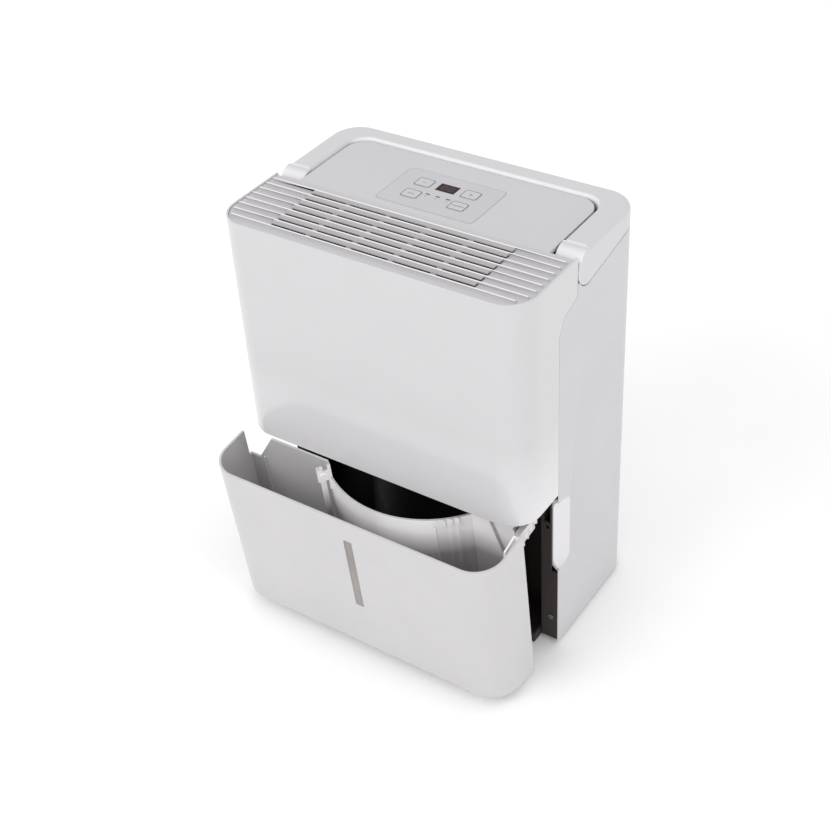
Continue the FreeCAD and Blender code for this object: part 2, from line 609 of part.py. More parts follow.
def partition():
    body = new_body("bay_shell")
    high = "bay_high - flange_low"
    inner = "bay_half + bay_wall"
    pad(body, "walls", "XY", "flange_low", high, outline(
        (f"-({inner})", "split"), ("-bay_half", "split"), ("-bay_half", "bay_back"),
        ("bay_half", "bay_back"),
        ("bay_half", "split"), (inner, "split"), (inner, "bay_back + bay_wall"),
        (f"-({inner})", "bay_back + bay_wall")))
    pad(body, "lower_flanges", "XY", "flange_low", "flange_step - flange_low",
        box_outline(inner, "flange_outer", "split", "split + bay_wall"),
        box_outline("-flange_outer", f"-({inner})", "split", "split + bay_wall"))
    pad(body, "narrow_flanges", "XY", "flange_low", high,
        box_outline(inner, "flange_narrow", "split", "split + bay_wall"),
        box_outline("-flange_narrow", f"-({inner})", "split", "split + bay_wall"))
    outer = rod("bulge_outer", "Z", ("bulge_x", "bulge_y", "flange_low"), "bulge_radius", high)
    ahead = block("bulge_keep", ("-width/2", "width/2"), ("-depth/2", "bay_back + bay_wall"),
                  ("0", "height"))
    solid = fuse("bay_solid", body, common("bulge_front_half", outer, ahead))
    inner_rod = rod("bulge_inner", "Z", ("bulge_x", "bulge_y", "-5"), "bulge_radius - bulge_wall", "height")
    holes = []
    for side, x in (("left", "-flange_screw_x"), ("right", "flange_screw_x")):
        holes.append(rod(f"flange_hole_{side}", "Y", (x, "split - 1", "flange_screw_z"),
                         "screw_radius + 0.1", "bay_wall + 2"))
        holes.append(rod(f"flange_sink_{side}", "Y", (x, "split - 1", "flange_screw_z"), "screw_head + gap",
                         "sink + 1"))
    holes.append(rod("key_hole", "Y", ("key_hole_x", "split - 1", "key_hole_z"), "2.6", "bay_wall + 2"))
    holes.append(block("ear_slot", (inner, "slot_inner"), ("split - 1", "split + bay_wall + 1"),
                       ("slot_low", "slot_high")))
    keep(cut("bay_cut", solid, inner_rod, *holes), "bay_partition")

    ceiling = new_body("bay_ceiling")
    pad(ceiling, "ceiling", "XY", "cover_low + wall + 0.3", "bay_wall", outline(
        ("-flange_outer + 6", "ceiling_front", "12"), ("flange_outer - 6", "ceiling_front", "12"),
        ("flange_outer - 6", "bay_back + bay_wall"), ("6 - flange_outer", "bay_back + bay_wall")))
    pocket(ceiling, "spout_hole", "XY", "cover_low", "10", ring("-96", "-60", "9"))
    keep(ceiling, "bay_ceiling")


def screw(name, start, length, backwards=False):
    """A pan-head screw along Y: the head sits in front of the start and the shank runs behind it."""
    x, y, z = start
    sign = -1 if backwards else 1
    if backwards:
        head = rod(f"{name}_head", "Y", (x, y, z), "screw_head", "head_thick")
        shank = rod(f"{name}_shank", "Y", (x, f"{y} - {length} + 0.1", z), "screw_radius", length)
    else:
        head = rod(f"{name}_head", "Y", (x, f"{y} - head_thick", z), "screw_head", "head_thick")
        shank = rod(f"{name}_shank", "Y", (x, f"{y} - 0.1", z), "screw_radius", length)
    slot_y = f"{y} + {sign} * -2.3" if not backwards else f"{y} + 1.4"
    cross = fuse(f"{name}_cross",
                 block(f"{name}_slot_a", (f"{x} - 2", f"{x} + 2"), (slot_y, f"{slot_y} + 1"),
                       (f"{z} - 0.4", f"{z} + 0.4")),
                 block(f"{name}_slot_b", (f"{x} - 0.4", f"{x} + 0.4"), (slot_y, f"{slot_y} + 1"),
                       (f"{z} - 2", f"{z} + 2")))
    return cut(name, fuse(f"{name}_solid", head, shank), cross)


def screws():
    front = [screw(f"flange_screw_{side}", (x, "split + sink - 0.05", "flange_screw_z"), "10")
             for side, x in (("left", "-flange_screw_x"), ("right", "flange_screw_x"))]
    keep(group("flange_screw_pair", *front), "flange_screws")
    back = []
    for side in ("-rear_screw_x", "rear_screw_x"):
        for level in ("rear_screw_low", "rear_screw_high"):
            back.append(screw(f"rear_screw_{len(back)}", (side, "depth/2 - wall + 0.15", level), "9",
                              backwards=True))
    keep(group("rear_screw_group", *back), "rear_screws")


# ---------------------------------------------------------------- water bucket

def water_bucket():
    body = new_body("bucket_body")
    low = "-bucket_drop"
    pad(body, "outside", "XY", low, "bucket_high + bucket_drop", outline(
        ("-bucket_half", "0", "corner"), ("bucket_half", "0", "corner"),
        ("bucket_half", "bucket_deep"), ("-bucket_half", "bucket_deep")))
    pad(body, "pod", "XY", "floor_low", "arc_high - floor_low",
        box_outline("pod_inner", "pod_outer", "bucket_deep - 10", "pod_back"))
    pad(body, "pod_deep_end", "XZ", "-pod_back - pod_step", "pod_step + 3",
        pod_side("0", "floor_low", "arc_high"))
    inner_plan = outline(
        ("wall - bucket_half", "wall", "corner - wall"), ("bucket_half - wall", "wall", "corner - wall"),
        ("bucket_half - wall", "bucket_deep - wall"), ("wall - bucket_half", "bucket_deep - wall"))
    pocket(body, "inside", "XY", "floor_low + floor_thick", "bucket_high + 5", inner_plan)
    pocket(body, "pod_inside", "XY", "floor_low + floor_thick", "bucket_high + 5",
           box_outline("pod_inner", "pod_outer - wall", "bucket_deep - wall - 1", "pod_back - wall"))
    pocket(body, "pod_deep_inside", "XZ", "wall - pod_back - pod_step", "pod_step + 1",
           pod_side("wall", "floor_low + floor_thick", "bucket_high"))
    pocket(body, "skirt", "XY", f"{low} - 1", "bucket_drop + floor_low + 1", outline(
        ("wall - bucket_half", "wall", "corner - wall"), ("bucket_half - wall", "wall", "corner - wall"),
        ("bucket_half - wall", "bucket_deep + 1"), ("wall - bucket_half", "bucket_deep + 1")))
    pocket(body, "sloping_edge", "YZ", "-bucket_half - 1", "2 * bucket_half + 2", outline(
        ("-1", "-bucket_drop - 2"), ("-1", "0"), ("0", "0"), ("bucket_deep", "-bucket_drop"),
        ("bucket_deep + 1", "-bucket_drop - 2")))
    above = "bucket_high + 1"
    pocket(body, "left_notch", "XZ", "-bucket_deep - 1", "6.5", outline(
        ("-notch_inner", above), ("-notch_inner", "bucket_high"), ("-notch_outer", "notch_low"),
        ("-bucket_half - 1", "notch_low"), ("-bucket_half - 1", above)))
    pocket(body, "right_notch", "XZ", "wall - pod_back", "pod_back - wall - bucket_deep + 5.5",
           box_outline("pod_outer - wall", "bucket_half - wall", "notch_low", above))
    pocket(body, "window_slot", "XZ", "-wall - 1", "wall + 2",
           box_outline("window_x - window_half", "window_x + window_half", "window_low", "window_high",
                       "1.5"))

    arc_outer = rod("arc_outer", "Z", ("arc_x", "arc_y", "floor_low"), "arc_radius + wall",
                    "arc_high - floor_low")
    inside_limit = block("arc_limit", ("-notch_inner", "pod_outer - wall"), ("0", "pod_back"),
                         ("0", "bucket_high"))
    left_limit = block("arc_limit_left", ("-width/2", "0"), ("bucket_deep", "depth"), ("-1", "bucket_high"))
    arc_wall = cut("arc_kept", common("arc_wall", arc_outer, inside_limit), left_limit)
    arc_inner = rod("arc_inner", "Z", ("arc_x", "arc_y", "-40"), "arc_radius", "bucket_high + 60")
    solid = fuse("bucket_solid", body, arc_wall, *bucket_ear(), *bucket_ribs(), *bucket_lugs(),
                 float_bracket())
    bores = [rod(f"lug_bore_{side}", "X", (f"{x} - skid_half - lug_wall - 2", "hinge_y", "hinge_z"),
                 "trunnion + trunnion_play", "2 * skid_half + 2 * lug_wall + 4")
             for side, x in (("left", "-skid_x"), ("right", "skid_x"))]
    keep(cut("bucket_cut", solid, arc_inner, *bores), "water_bucket", tipped=True)


def pod_side(margin, low, high):
    """The deeper end of the pod seen from the front, right of the slanting step in its back wall."""
    return outline((f"crease_top + {margin}", high), (f"crease_low + {margin}", "crease_level"),
                   (f"crease_low + {margin}", low), (f"pod_outer - {margin}", low),
                   (f"pod_outer - {margin}", high))


def bucket_ear():
    """The ear behind the right wall that works the bucket switch, stiffened by small ribs."""
    plate = new_body("ear_body")
    pad(plate, "ear_plate", "YZ", "ear_inner", "2.2", outline(
        ("ear_front", "ear_root"), ("bucket_deep", "ear_root"), ("bucket_deep", "ear_low"),
        ("ear_deep", "ear_low"),
        ("ear_deep", "ear_high"), ("ear_front + 30", "ear_high"), ("ear_front", "ear_high - ear_rise")))
    start = "bucket_deep + 8"
    shelf = block("ear_shelf", ("ear_inner", "ear_outer"), (start, "ear_deep"),
                  ("ear_high - 2.5", "ear_high"))
    ribs = [block(f"ear_rib_{index}", ("ear_inner", "ear_outer"),
                  (f"{start} + {index} * ear_step", f"{start} + {index} * ear_step + 2"),
                  (f"ear_low + {index} * 3", "ear_high")) for index in range(5)]
    ledge = block("ear_ledge", ("ear_inner", "bucket_half - 1"), ("ear_front", "bucket_deep - 1"),
                  ("ear_root", "ear_root + 2.5"))
    return [plate, shelf, ledge] + ribs


def arc_place(turn, out):
    """A point off the water side of the arched wall, at a turn about its axis."""
    reach = f"(arc_radius + wall + {out})"
    return f"arc_x + {reach} * sin({turn})", f"arc_y - {reach} * cos({turn})"


def bucket_ribs():
    """Low upright ribs inside the bucket and three short tabs below the arched rim."""
    back = "bucket_deep - wall"
    ribs = [block("rib_left", ("-161", "-158.6"), (f"{back} - 2", f"{back} + 1"),
                  ("floor_low + 1", "notch_low + 4"))]
    for index, turn in enumerate((37, 40.5, 44)):
        x, y = arc_place(turn, "0")
        ribs.append(rod(f"rim_tab_{index}", "Z", (x, y, "arc_high - 9"), "1.6", "9"))
    x, y = arc_place(32, "0")
    ribs.append(rod("arc_rib", "Z", (x, y, "floor_low + 1"), "1.2", "172"))
    return ribs


def bucket_lugs():
    """Two pairs of lugs under the floor that hold the skids."""
    lugs = []
    for side, x in (("left", "-skid_x"), ("right", "skid_x")):
        for offset in ("-skid_half - lug_gap - lug_wall", "skid_half + lug_gap"):
            name = f"lug_{side}_{len(lugs)}"
            start = f"{x} + {offset}"
            plate = block(name, (start, f"{start} + lug_wall"), ("hinge_y - 6", "hinge_y + 6"),
                          ("hinge_z", "floor_low + 1"))
            nose = rod(f"{name}_nose", "X", (start, "hinge_y", "hinge_z"), "6", "lug_wall")
            lugs.extend((plate, nose))
    return lugs


def on_arc(item):
    """Turn a piece of the float gear about its pivot to stand square on the arched wall."""
    item.Placement = FreeCAD.Placement(V(0, 0, 0), FreeCAD.Rotation(V(0, 0, 1), 1))
    return bind(item, {"Placement.Rotation.Angle": "float_turn", "Placement.Base.x": "float_x",
                       "Placement.Base.y": "float_y"})


def float_bracket():
    """The notched bracket on the arched wall that carries the float's pin."""
    plate = block("bracket_plate", ("-12", "6"), ("-1.3", "1.3"), ("float_z - 9", "float_z + 13"))
    foot = block("bracket_foot", ("-12", "-6"), ("-1.3", "1.3"), ("float_z - 24", "float_z"))
    notch = block("bracket_notch", ("-7", "-1"), ("-2", "2"), ("float_z + 6", "float_z + 14"))
    hook = block("bracket_hook", ("3", "6"), ("-1.3", "5"), ("float_z + 9", "float_z + 13"))
    bore = rod("bracket_bore", "Y", ("0", "-3", "float_z"), "float_pin + 0.02", "6")
    return on_arc(cut("float_bracket", fuse("bracket_solid", plate, foot, hook), notch, bore))


def bucket_fittings():
    gauge = new_body("level_window")
    pad(gauge, "pane", "XZ", "-wall - 0.9", "wall + 0.3", box_outline(
        "window_x - window_half + 0.1", "window_x + window_half - 0.1", "window_low + 0.1",
        "window_high - 0.1", "1.5"))
    pad(gauge, "flange", "XZ", "-wall - 2", "1.9", box_outline(
        "window_x - window_half - 3", "window_x + window_half + 3", "window_low - 3", "window_high + 3",
        "1.5"))
    keep(gauge, "level_window", tipped=True)

    strip = block("arm_strip", ("-3", "3"), ("-4", "-1.8"), ("float_z - arm_long", "float_z"))
    eye = rod("arm_eye", "Y", ("0", "-4", "float_z"), "4", "2.2")
    bore = rod("arm_bore", "Y", ("0", "-5", "float_z"), "float_pin + 0.06", "4")
    arm = on_arc(cut("arm_cut", fuse("arm_solid", strip, eye), bore))
    keep(group("float_arm_group", arm), "float_arm", tipped=True)
    body = new_body("float_shell")
    pad(body, "float_walls", "XY", "float_z - arm_long - float_tall", "float_tall",
        box_outline("-3", "17", "-12", "7", "5"))
    keep(group("float_block_group", on_arc(body)), "float_block", tipped=True)
    shank = rod("pin_shank", "Y", ("0", "-5.4", "float_z"), "float_pin", "7.6")
    head = rod("pin_head", "Y", ("0", "1.5", "float_z"), "3", "1.4")
    keep(group("float_pin_group", on_arc(fuse("float_pin_solid", shank, head))), "float_pin", tipped=True)


def bucket_skids():
    """Two feet under the bucket, on which it slides and tips."""
    hinge_y = "out_y + hinge_y * cos(tip) - hinge_z * sin(tip)"
    hinge_z = "out_z + hinge_y * sin(tip) + hinge_z * cos(tip)"
    skids = []
    for side, x in (("left", "-skid_x"), ("right", "skid_x")):
        span = (f"{x} - skid_half", f"{x} + skid_half")
        leg = block(f"skid_leg_{side}", span, (f"({hinge_y}) - skid_round", f"({hinge_y}) + skid_round"),
                    ("0.3 - foot_height", hinge_z))
        head = rod(f"skid_head_{side}", "X", (span[0], hinge_y, hinge_z), "skid_round", "2 * skid_half")
        axle = rod(f"skid_axle_{side}", "X", (f"{x} - skid_half - lug_gap - lug_wall", hinge_y, hinge_z),
                   "trunnion",
                   "2 * (skid_half + lug_gap + lug_wall)")
        skids.append(fuse(f"skid_{side}", leg, head, axle))
    keep(group("skid_pair", *skids), "bucket_skids")


# ---------------------------------------------------------------- rear filter and services

def filter_cassette():
    frame = new_body("intake_grille")
    y_back = "depth/2"
    outer = box_outline("0.5 - intake_half", "intake_half - 0.5", "intake_low + 0.5", "intake_high - 0.5",
                        "intake_corner - 0.5")
    hole = box_outline("10 - intake_half", "intake_half - 10", "intake_low + 10", "intake_high - 10", "3")
    pad(frame, "frame", "XZ", f"-{y_back}", "10", outer, hole)
    louvres = [block(f"louvre_{index}", ("9 - intake_half", "intake_half - 9"),
                     ("depth/2 - 8", "depth/2 - 0.5"),
                     (f"intake_low + 12 + {index} * louvre_pitch",
                      f"intake_low + 12 + {index} * louvre_pitch + louvre_thick"))
               for index in range(int(value("louvre_count")))]
    posts = [block(f"louvre_post_{index}", (f"{x} - 1.5", f"{x} + 1.5"), ("depth/2 - 8", "depth/2 - 2"),
                   ("intake_low + 9", "intake_high - 9")) for index, x in enumerate((-58, 0, 58))]
    grip = rod("filter_grip", "X", ("-30", "depth/2 + 2", "intake_high - 5"), "5.5", "60")
    keep(cut("intake_cut", fuse("intake_solid", frame, *louvres, *posts), grip), "intake_grille")

    mesh = new_body("filter_rim")
    edge = ("6 - intake_half", "intake_half - 6", "intake_low + 6", "intake_high - 6")
    pad(mesh, "rim", "XZ", "-filter_back + 0.2", "3", box_outline(*edge, "3"),
        box_outline("12 - intake_half", "intake_half - 12", "intake_low + 12", "intake_high - 12", "2"))
    upright = [block(f"filter_bar_{index}", (f"{x} - 1", f"{x} + 1"),
                     ("filter_back - 3.2", "filter_back - 1.2"),
                     ("intake_low + 11", "intake_high - 11")) for index, x in enumerate((-75, -25, 25, 75))]
    screen = block("filter_screen", ("11 - intake_half", "intake_half - 11"),
                   ("filter_back - 2.6", "filter_back - 1.8"),
                   ("intake_low + 11", "intake_high - 11"))
    keep(fuse("filter_solid", mesh, *upright, screen), "air_filter")


def services():
    gland_y = "depth/2 - wall - 3"
    body = rod("gland_body", "Y", ("cord_x", gland_y, "cord_z"), "gland_radius - 0.2", "wall + 2.8")
    inner = rod("gland_collar", "Y", ("cord_x", gland_y, "cord_z"), "gland_radius + 2", "2.6")
    bore = rod("gland_bore", "Y", ("cord_x", f"{gland_y} - 1", "cord_z"), "cord_radius", "20")
    keep(cut("gland_cut", fuse("gland_solid", body, inner), bore), "cord_inlet")
    plug = rod("plug_stem", "Y", ("drain_x", "depth/2 - 8", "drain_z"), "drain_radius - 0.3", "7")
    face = rod("plug_face", "Y", ("drain_x", "depth/2 - 1.9", "drain_z"), "drain_radius - 0.3", "1.7")
    keep(fuse("plug_solid", plug, face), "drain_plug")


# ---------------------------------------------------------------- refrigeration and fan

def compressor():
    can = drum("can", "compressor_x", "compressor_y", "compressor_low", "compressor_high",
               "compressor_radius", "26")
    weld = rod("weld_band", "Z", ("compressor_x", "compressor_y", "compressor_high - 60"),
               "compressor_radius + 1.5", "8")
    stub = rod("discharge_stub", "Z", ("compressor_x + 24", "compressor_y", "compressor_high - 4"), "5",
               "16")
    keep(fuse("compressor_solid", can, weld, stub), "compressor")
    bracket = rod("bracket_disc", "Z", ("compressor_x", "compressor_y", "compressor_low - 2"),
                  "compressor_radius + 10", "2")
    hole = rod("bracket_hole", "Z", ("compressor_x", "compressor_y", "base_thick"), "12", "20")
    keep(cut("bracket_cut", bracket, hole), "compressor_bracket")
    feet = []
    for index in range(3):
        angle = f"{90 + 120 * index}"
        x = f"compressor_x + (compressor_radius + 4) * cos({angle})"
        y = f"compressor_y + (compressor_radius - 6) * sin({angle})"
        feet.append(rod(f"grommet_{index}", "Z", (x, y, "base_thick + 0.2"), "7",
                        "compressor_low - 2.2 - base_thick"))
    keep(group("grommet_group", *feet), "compressor_mounts")


def finned_coil(name, y):
    """Serpentine tube through a pack of upright fins between two end plates, as one brazed block."""
    rows = 6
    solids = []
    fins = int(value("fin_count"))
    for index in range(fins + 1):
        x = f"-coil_half + {index} * 2 * coil_half / {fins}"
        solids.append(block(f"{name}_fin_{index}", (f"{x} - fin_thick/2", f"{x} + fin_thick/2"),
                            (f"{y} - coil_deep/2", f"{y} + coil_deep/2"), ("coil_low", "coil_high")))
    pitch = f"(coil_high - coil_low) / {rows}"
    for index in range(rows):
        level = f"coil_low + ({index} + 0.5) * {pitch}"
        solids.append(rod(f"{name}_tube_{index}", "X", ("-coil_half - 8", y, level), "tube_radius",
                          "2 * coil_half + 16"))
        if index < rows - 1:
            end = "coil_half + 4" if index % 2 else "-coil_half - 8"
            solids.append(block(f"{name}_bend_{index}", (end, f"{end} + 4"), (f"{y} - 3", f"{y} + 3"),
                                (level, f"{level} + {pitch}")))
    keep(fuse(f"{name}_solid", *solids), name)


def refrigerant_pipes():
    """Two copper lines with tangent bends: compressor to condenser, and coil to coil."""
    x, y = value("compressor_x + 24"), value("compressor_y")
    top = value("compressor_high + 12.2")
    end = value("coil_half + 8.4")
    low = value("coil_low + (coil_high - coil_low) / 12")
    near, far = value("condenser_y"), value("evaporator_y")
    routes = [
        [V(x, y, top), V(x, y, top + 16), V(end + 32, y, top + 16), V(end + 32, near, low),
         V(end, near, low)],
        [V(-end, near, low), V(-end - 20, near, low), V(-end - 20, far, low), V(-end, far, low)],
    ]
    item = doc.addObject("Part::Feature", "refrigerant_lines")
    item.Shape = Part.makeCompound([pipe_along(route, 3.2, 8) for route in routes])
    keep(item, "refrigerant_pipes")


def pipe_along(route, radius, bend):
    """A solid round bar along straight runs joined by tangent arcs."""
    edges = []
    start = route[0]
    for before, here, after in zip(route, route[1:], route[2:]):
        back = (before - here).normalize()
        ahead = (after - here).normalize()
        half_turn = back.getAngle(ahead) / 2
        reach = bend / math.tan(half_turn)
        centre = here + (back + ahead).normalize() * (bend / math.sin(half_turn))
        middle = centre + (here - centre).normalize() * bend
        arc_start, arc_end = here + back * reach, here + ahead * reach
        edges.append(Part.LineSegment(start, arc_start).toShape())
        edges.append(Part.Arc(arc_start, middle, arc_end).toShape())
        start = arc_end
    edges.append(Part.LineSegment(start, route[-1]).toShape())
    path = Part.Wire(edges)
    section = Part.Wire(Part.makeCircle(radius, route[0], route[1] - route[0]))
    return path.makePipeShell([section], True, True)


def fan():
    hub_y = "wheel_front"
    back_disc = rod("wheel_disc", "Y", ("0", hub_y, "fan_z"), "wheel_radius", "2.5")
    hub = rod("wheel_hub", "Y", ("0", hub_y, "fan_z"), "hub_radius", "22")
    outer = rod("wheel_ring_outer", "Y", ("0", "wheel_back - 4", "fan_z"), "wheel_radius", "4")
    inner = rod("wheel_ring_inner", "Y", ("0", "wheel_back - 5", "fan_z"), "wheel_radius - blade_long", "6")
    blades = []
    count = int(value("blade_count"))
    for index in range(count):
        blade = doc.addObject("Part::Box", f"blade_{index}")
        turn = math.radians(360 * index / count)
        blade.Placement = FreeCAD.Placement(V(0, 0, 0), FreeCAD.Rotation(V(0, 1, 0), -math.degrees(turn)))
        reach = f"(wheel_radius - blade_long)"
        bind(blade, {"Length": "blade_long", "Width": "wheel_back - wheel_front", "Height": "1.6",
                     "Placement.Base.x": f"{reach} * {math.cos(turn):.6f}",
                     "Placement.Base.y": "wheel_front",
                     "Placement.Base.z": f"fan_z + foot_height + {reach} * {math.sin(turn):.6f}"})
        blades.append(blade)
    solid = fuse("wheel_solid", back_disc, hub, cut("wheel_ring", outer, inner), *blades)
    bore = rod("wheel_bore", "Y", ("0", f"{hub_y} - 1", "fan_z"), "shaft_radius + 0.02", "30")
    keep(cut("wheel_cut", solid, bore), "fan_wheel")
    shaft = rod("shaft_bar", "Y", ("0", "motor_front + 8", "fan_z"), "shaft_radius",
                "wheel_front + 30 - motor_front - 8")
    nut = rod("shaft_nut", "Y", ("0", "wheel_front + 22.1", "fan_z"), "7", "6")
    keep(fuse("shaft_solid", shaft, nut), "fan_shaft")
    can = rod("motor_can", "Y", ("0", "motor_front", "fan_z"), "motor_radius", "motor_back - motor_front")
    boss = rod("motor_boss", "Y", ("0", "motor_back - 1", "fan_z"), "12", "5")
    tunnel = rod("motor_bore", "Y", ("0", "motor_front + 7", "fan_z"), "shaft_radius + shaft_play", "50")
    keep(cut("motor_cut", fuse("motor_solid", can, boss), tunnel), "fan_motor")
    scroll()


def scroll():
    """Fan housing: a drum around the wheel that opens into the duct below the outlet grille."""
    long = "scroll_back - scroll_front"
    drum = rod("drum", "Y", ("0", "scroll_front", "fan_z"), "scroll_radius", long)
    duct = block("duct", ("-duct_half", "duct_half"), ("duct_front", "duct_back"),
                 ("duct_low", "duct_high"))
    neck = block("neck", ("-scroll_radius", "scroll_radius"), ("scroll_front", "scroll_back"),
                 ("fan_z", "duct_low + 2"))
    outside = fuse("scroll_outside", drum, duct, neck)
    drum_in = rod("drum_in", "Y", ("0", "scroll_front + scroll_wall", "fan_z"),
                  "scroll_radius - scroll_wall",
                  f"{long} - 2 * scroll_wall")
    duct_in = block("duct_in", ("scroll_wall - duct_half", "duct_half - scroll_wall"),
                    ("duct_front + scroll_wall", "duct_back - scroll_wall"),
                    ("duct_low + scroll_wall", "height"))
    neck_in = block("neck_in", ("scroll_wall - scroll_radius", "scroll_radius - scroll_wall"),
                    ("scroll_front + scroll_wall", "scroll_back - scroll_wall"), ("fan_z", "duct_low"))
    throat = block("throat", ("scroll_wall - scroll_radius", "scroll_radius - scroll_wall"),
                   ("scroll_front + scroll_wall", "duct_back - scroll_wall"),
                   ("duct_low - 3", "duct_low + 10"))
    mouth = rod("mouth", "Y", ("0", "scroll_back - 10", "fan_z"), "inlet_radius", "30")
    keep(cut("scroll_cut", outside, drum_in, duct_in, neck_in, throat, mouth), "fan_housing")


def drip_tray():
    low, high = "212", "230"
    outside = block("tray_outside", ("-130", "130"), ("30", "100"), (low, high))
    inside = block("tray_inside", ("-127.5", "127.5"), ("32.5", "97.5"), (f"{low} + 2.5", f"{high} + 1"))
    keep(cut("tray_cut", outside, inside), "drip_tray")


def electrics():
    board = new_body("power_board")
    pad(board, "power_laminate", "YZ", "-176", "1.6", box_outline("10", "90", "280", "400"))
    pad(board, "relay", "YZ", "-174.4", "16", box_outline("20", "48", "300", "316"))
    pad(board, "transformer", "YZ", "-174.4", "22", box_outline("55", "85", "340", "370"))
    pad(board, "terminals", "YZ", "-174.4", "12", box_outline("16", "84", "386", "396"))
    keep(board, "power_board")
    can = rod("capacitor_can", "Z", ("140", "20", "300"), "17", "70")
    tabs = [block(f"capacitor_tab_{index}", (x, f"{x} + 1"), ("17", "23"), ("369", "378")) for index, x in
            enumerate(("134", "145"))]
    keep(fuse("capacitor_solid", can, *tabs), "run_capacitor")
    outer = rod("clamp_outer", "Z", ("140", "20", "330"), "19.3", "12")
    inner = rod("clamp_inner", "Z", ("140", "20", "329"), "17.3", "14")
    foot = block("clamp_foot", ("158", "178"), ("12", "28"), ("330", "342"))
    keep(cut("clamp_cut", fuse("clamp_solid", outer, foot), inner), "capacitor_clamp")
    switch = block("switch_box", ("166", "176"), ("0", "12"), ("186", "204"))
    lever = block("switch_lever", ("167", "175"), ("-3.4", "-2.6"), ("184", "204"))
    hinge = block("switch_hinge", ("167", "175"), ("-3", "0.5"), ("202", "204"))
    keep(fuse("switch_solid", switch, lever, hinge), "bucket_switch")
    sensor = block("sensor_board", ("150", "151.6"), ("60", "80"), ("300", "330"))
    cell = block("sensor_cell", ("146", "150.5"), ("64", "76"), ("308", "320"))
    keep(fuse("sensor_solid", sensor, cell), "humidity_sensor")


# ---------------------------------------------------------------- build and write

def build_all():
    fill_sheet()
    for make in (rear_casing, front_cover, outlet_grille, control_panel, display_and_board, carry_handle,
                 top_deck,
                 base_pan, partition, screws, water_bucket, bucket_fittings, bucket_skids, filter_cassette,
                 services, compressor, refrigerant_pipes, fan, drip_tray, electrics):
        make()
    finned_coil("evaporator", "evaporator_y")
    finned_coil("condenser", "condenser_y")
    doc.recompute()


def check_model():
    for item in doc.Objects:
        if "Invalid" in item.State or "Error" in item.State:
            raise RuntimeError(f"{item.Label} did not build: {item.State}")
    for name, item in SUBPARTS.items():
        shape = item.Shape
        if shape.isNull() or not shape.isValid() or not shape.Solids:
            raise RuntimeError(f"{name} is not a valid solid")


def write_parts():
    os.makedirs(PARTS_FOLDER, exist_ok=True)
    for name, item in SUBPARTS.items():
        item.Shape.exportStep(os.path.join(PARTS_FOLDER, f"{name}.step"))
        box = item.Shape.BoundBox
        print(f"{name:20s} solids {len(item.Shape.Solids):2d}  volume {item.Shape.Volume / 1000:8.2f} cm3  "
              f"x {box.XMin:7.1f} {box.XMax:7.1f}  y {box.YMin:7.1f} {box.YMax:7.1f}  "
              f"z {box.ZMin:7.1f} {box.ZMax:7.1f}")


build_all()
check_model()
write_parts()
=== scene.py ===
"""Looks of a compressor dehumidifier with its water bucket drawn out and tipped forward."""
import json
import math

import bmesh
import bpy
from mathutils import Matrix, Vector


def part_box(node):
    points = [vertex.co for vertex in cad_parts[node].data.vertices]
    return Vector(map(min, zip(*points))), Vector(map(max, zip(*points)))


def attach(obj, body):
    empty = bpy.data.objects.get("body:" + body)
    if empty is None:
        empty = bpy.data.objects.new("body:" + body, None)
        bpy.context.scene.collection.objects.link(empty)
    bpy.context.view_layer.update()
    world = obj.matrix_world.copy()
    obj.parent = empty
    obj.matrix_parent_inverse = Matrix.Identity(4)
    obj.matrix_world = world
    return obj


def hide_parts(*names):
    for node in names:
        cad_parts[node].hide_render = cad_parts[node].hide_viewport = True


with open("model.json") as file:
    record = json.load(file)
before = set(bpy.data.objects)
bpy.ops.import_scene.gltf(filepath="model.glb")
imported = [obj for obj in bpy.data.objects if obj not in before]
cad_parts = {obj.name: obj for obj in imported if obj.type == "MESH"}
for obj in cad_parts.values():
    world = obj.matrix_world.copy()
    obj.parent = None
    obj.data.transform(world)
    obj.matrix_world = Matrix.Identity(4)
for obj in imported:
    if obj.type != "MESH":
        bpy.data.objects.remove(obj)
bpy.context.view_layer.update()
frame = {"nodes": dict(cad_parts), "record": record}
nodes = frame["nodes"]
record = frame["record"]
scene = bpy.context.scene
SLOT_OF = {entry["node"]: entry["material_slot"] for entry in record["subparts"]}
BODY_OF = {node: body for body, members in record["behaviour"]["bodies"].items() for node in members}
JOINTS = {joint["name"]: joint for joint in record["behaviour"]["joints"]}
MATERIALS = {}
MM = 0.001


# ---------------------------------------------------------------- parts of a material

def shader(name, **values):
    """A new material with a principled shader; uniform values go straight on its sockets."""
    material = bpy.data.materials.new(name)
    material.use_nodes = True
    tree = material.node_tree
    surface = tree.nodes["Principled BSDF"]
    for socket, amount in values.items():
        surface.inputs[socket.replace("_", " ")].default_value = amount
    return material, tree, surface


def object_space(tree, scale=1.0, stretch=(1, 1, 1)):
    """Coordinates fixed to the object, in metres times scale."""
    place = tree.nodes.new("ShaderNodeTexCoord")
    mapping = tree.nodes.new("ShaderNodeMapping")
    mapping.inputs["Scale"].default_value = [scale * part for part in stretch]
    tree.links.new(place.outputs["Object"], mapping.inputs["Vector"])
    return mapping.outputs["Vector"]


def noise(tree, scale, detail=3.0, roughness=0.55, stretch=(1, 1, 1)):
    node = tree.nodes.new("ShaderNodeTexNoise")
    node.inputs["Scale"].default_value = 1.0
    node.inputs["Detail"].default_value = detail
    node.inputs["Roughness"].default_value = roughness
    tree.links.new(object_space(tree, scale, stretch), node.inputs["Vector"])
    return node.outputs["Fac"]


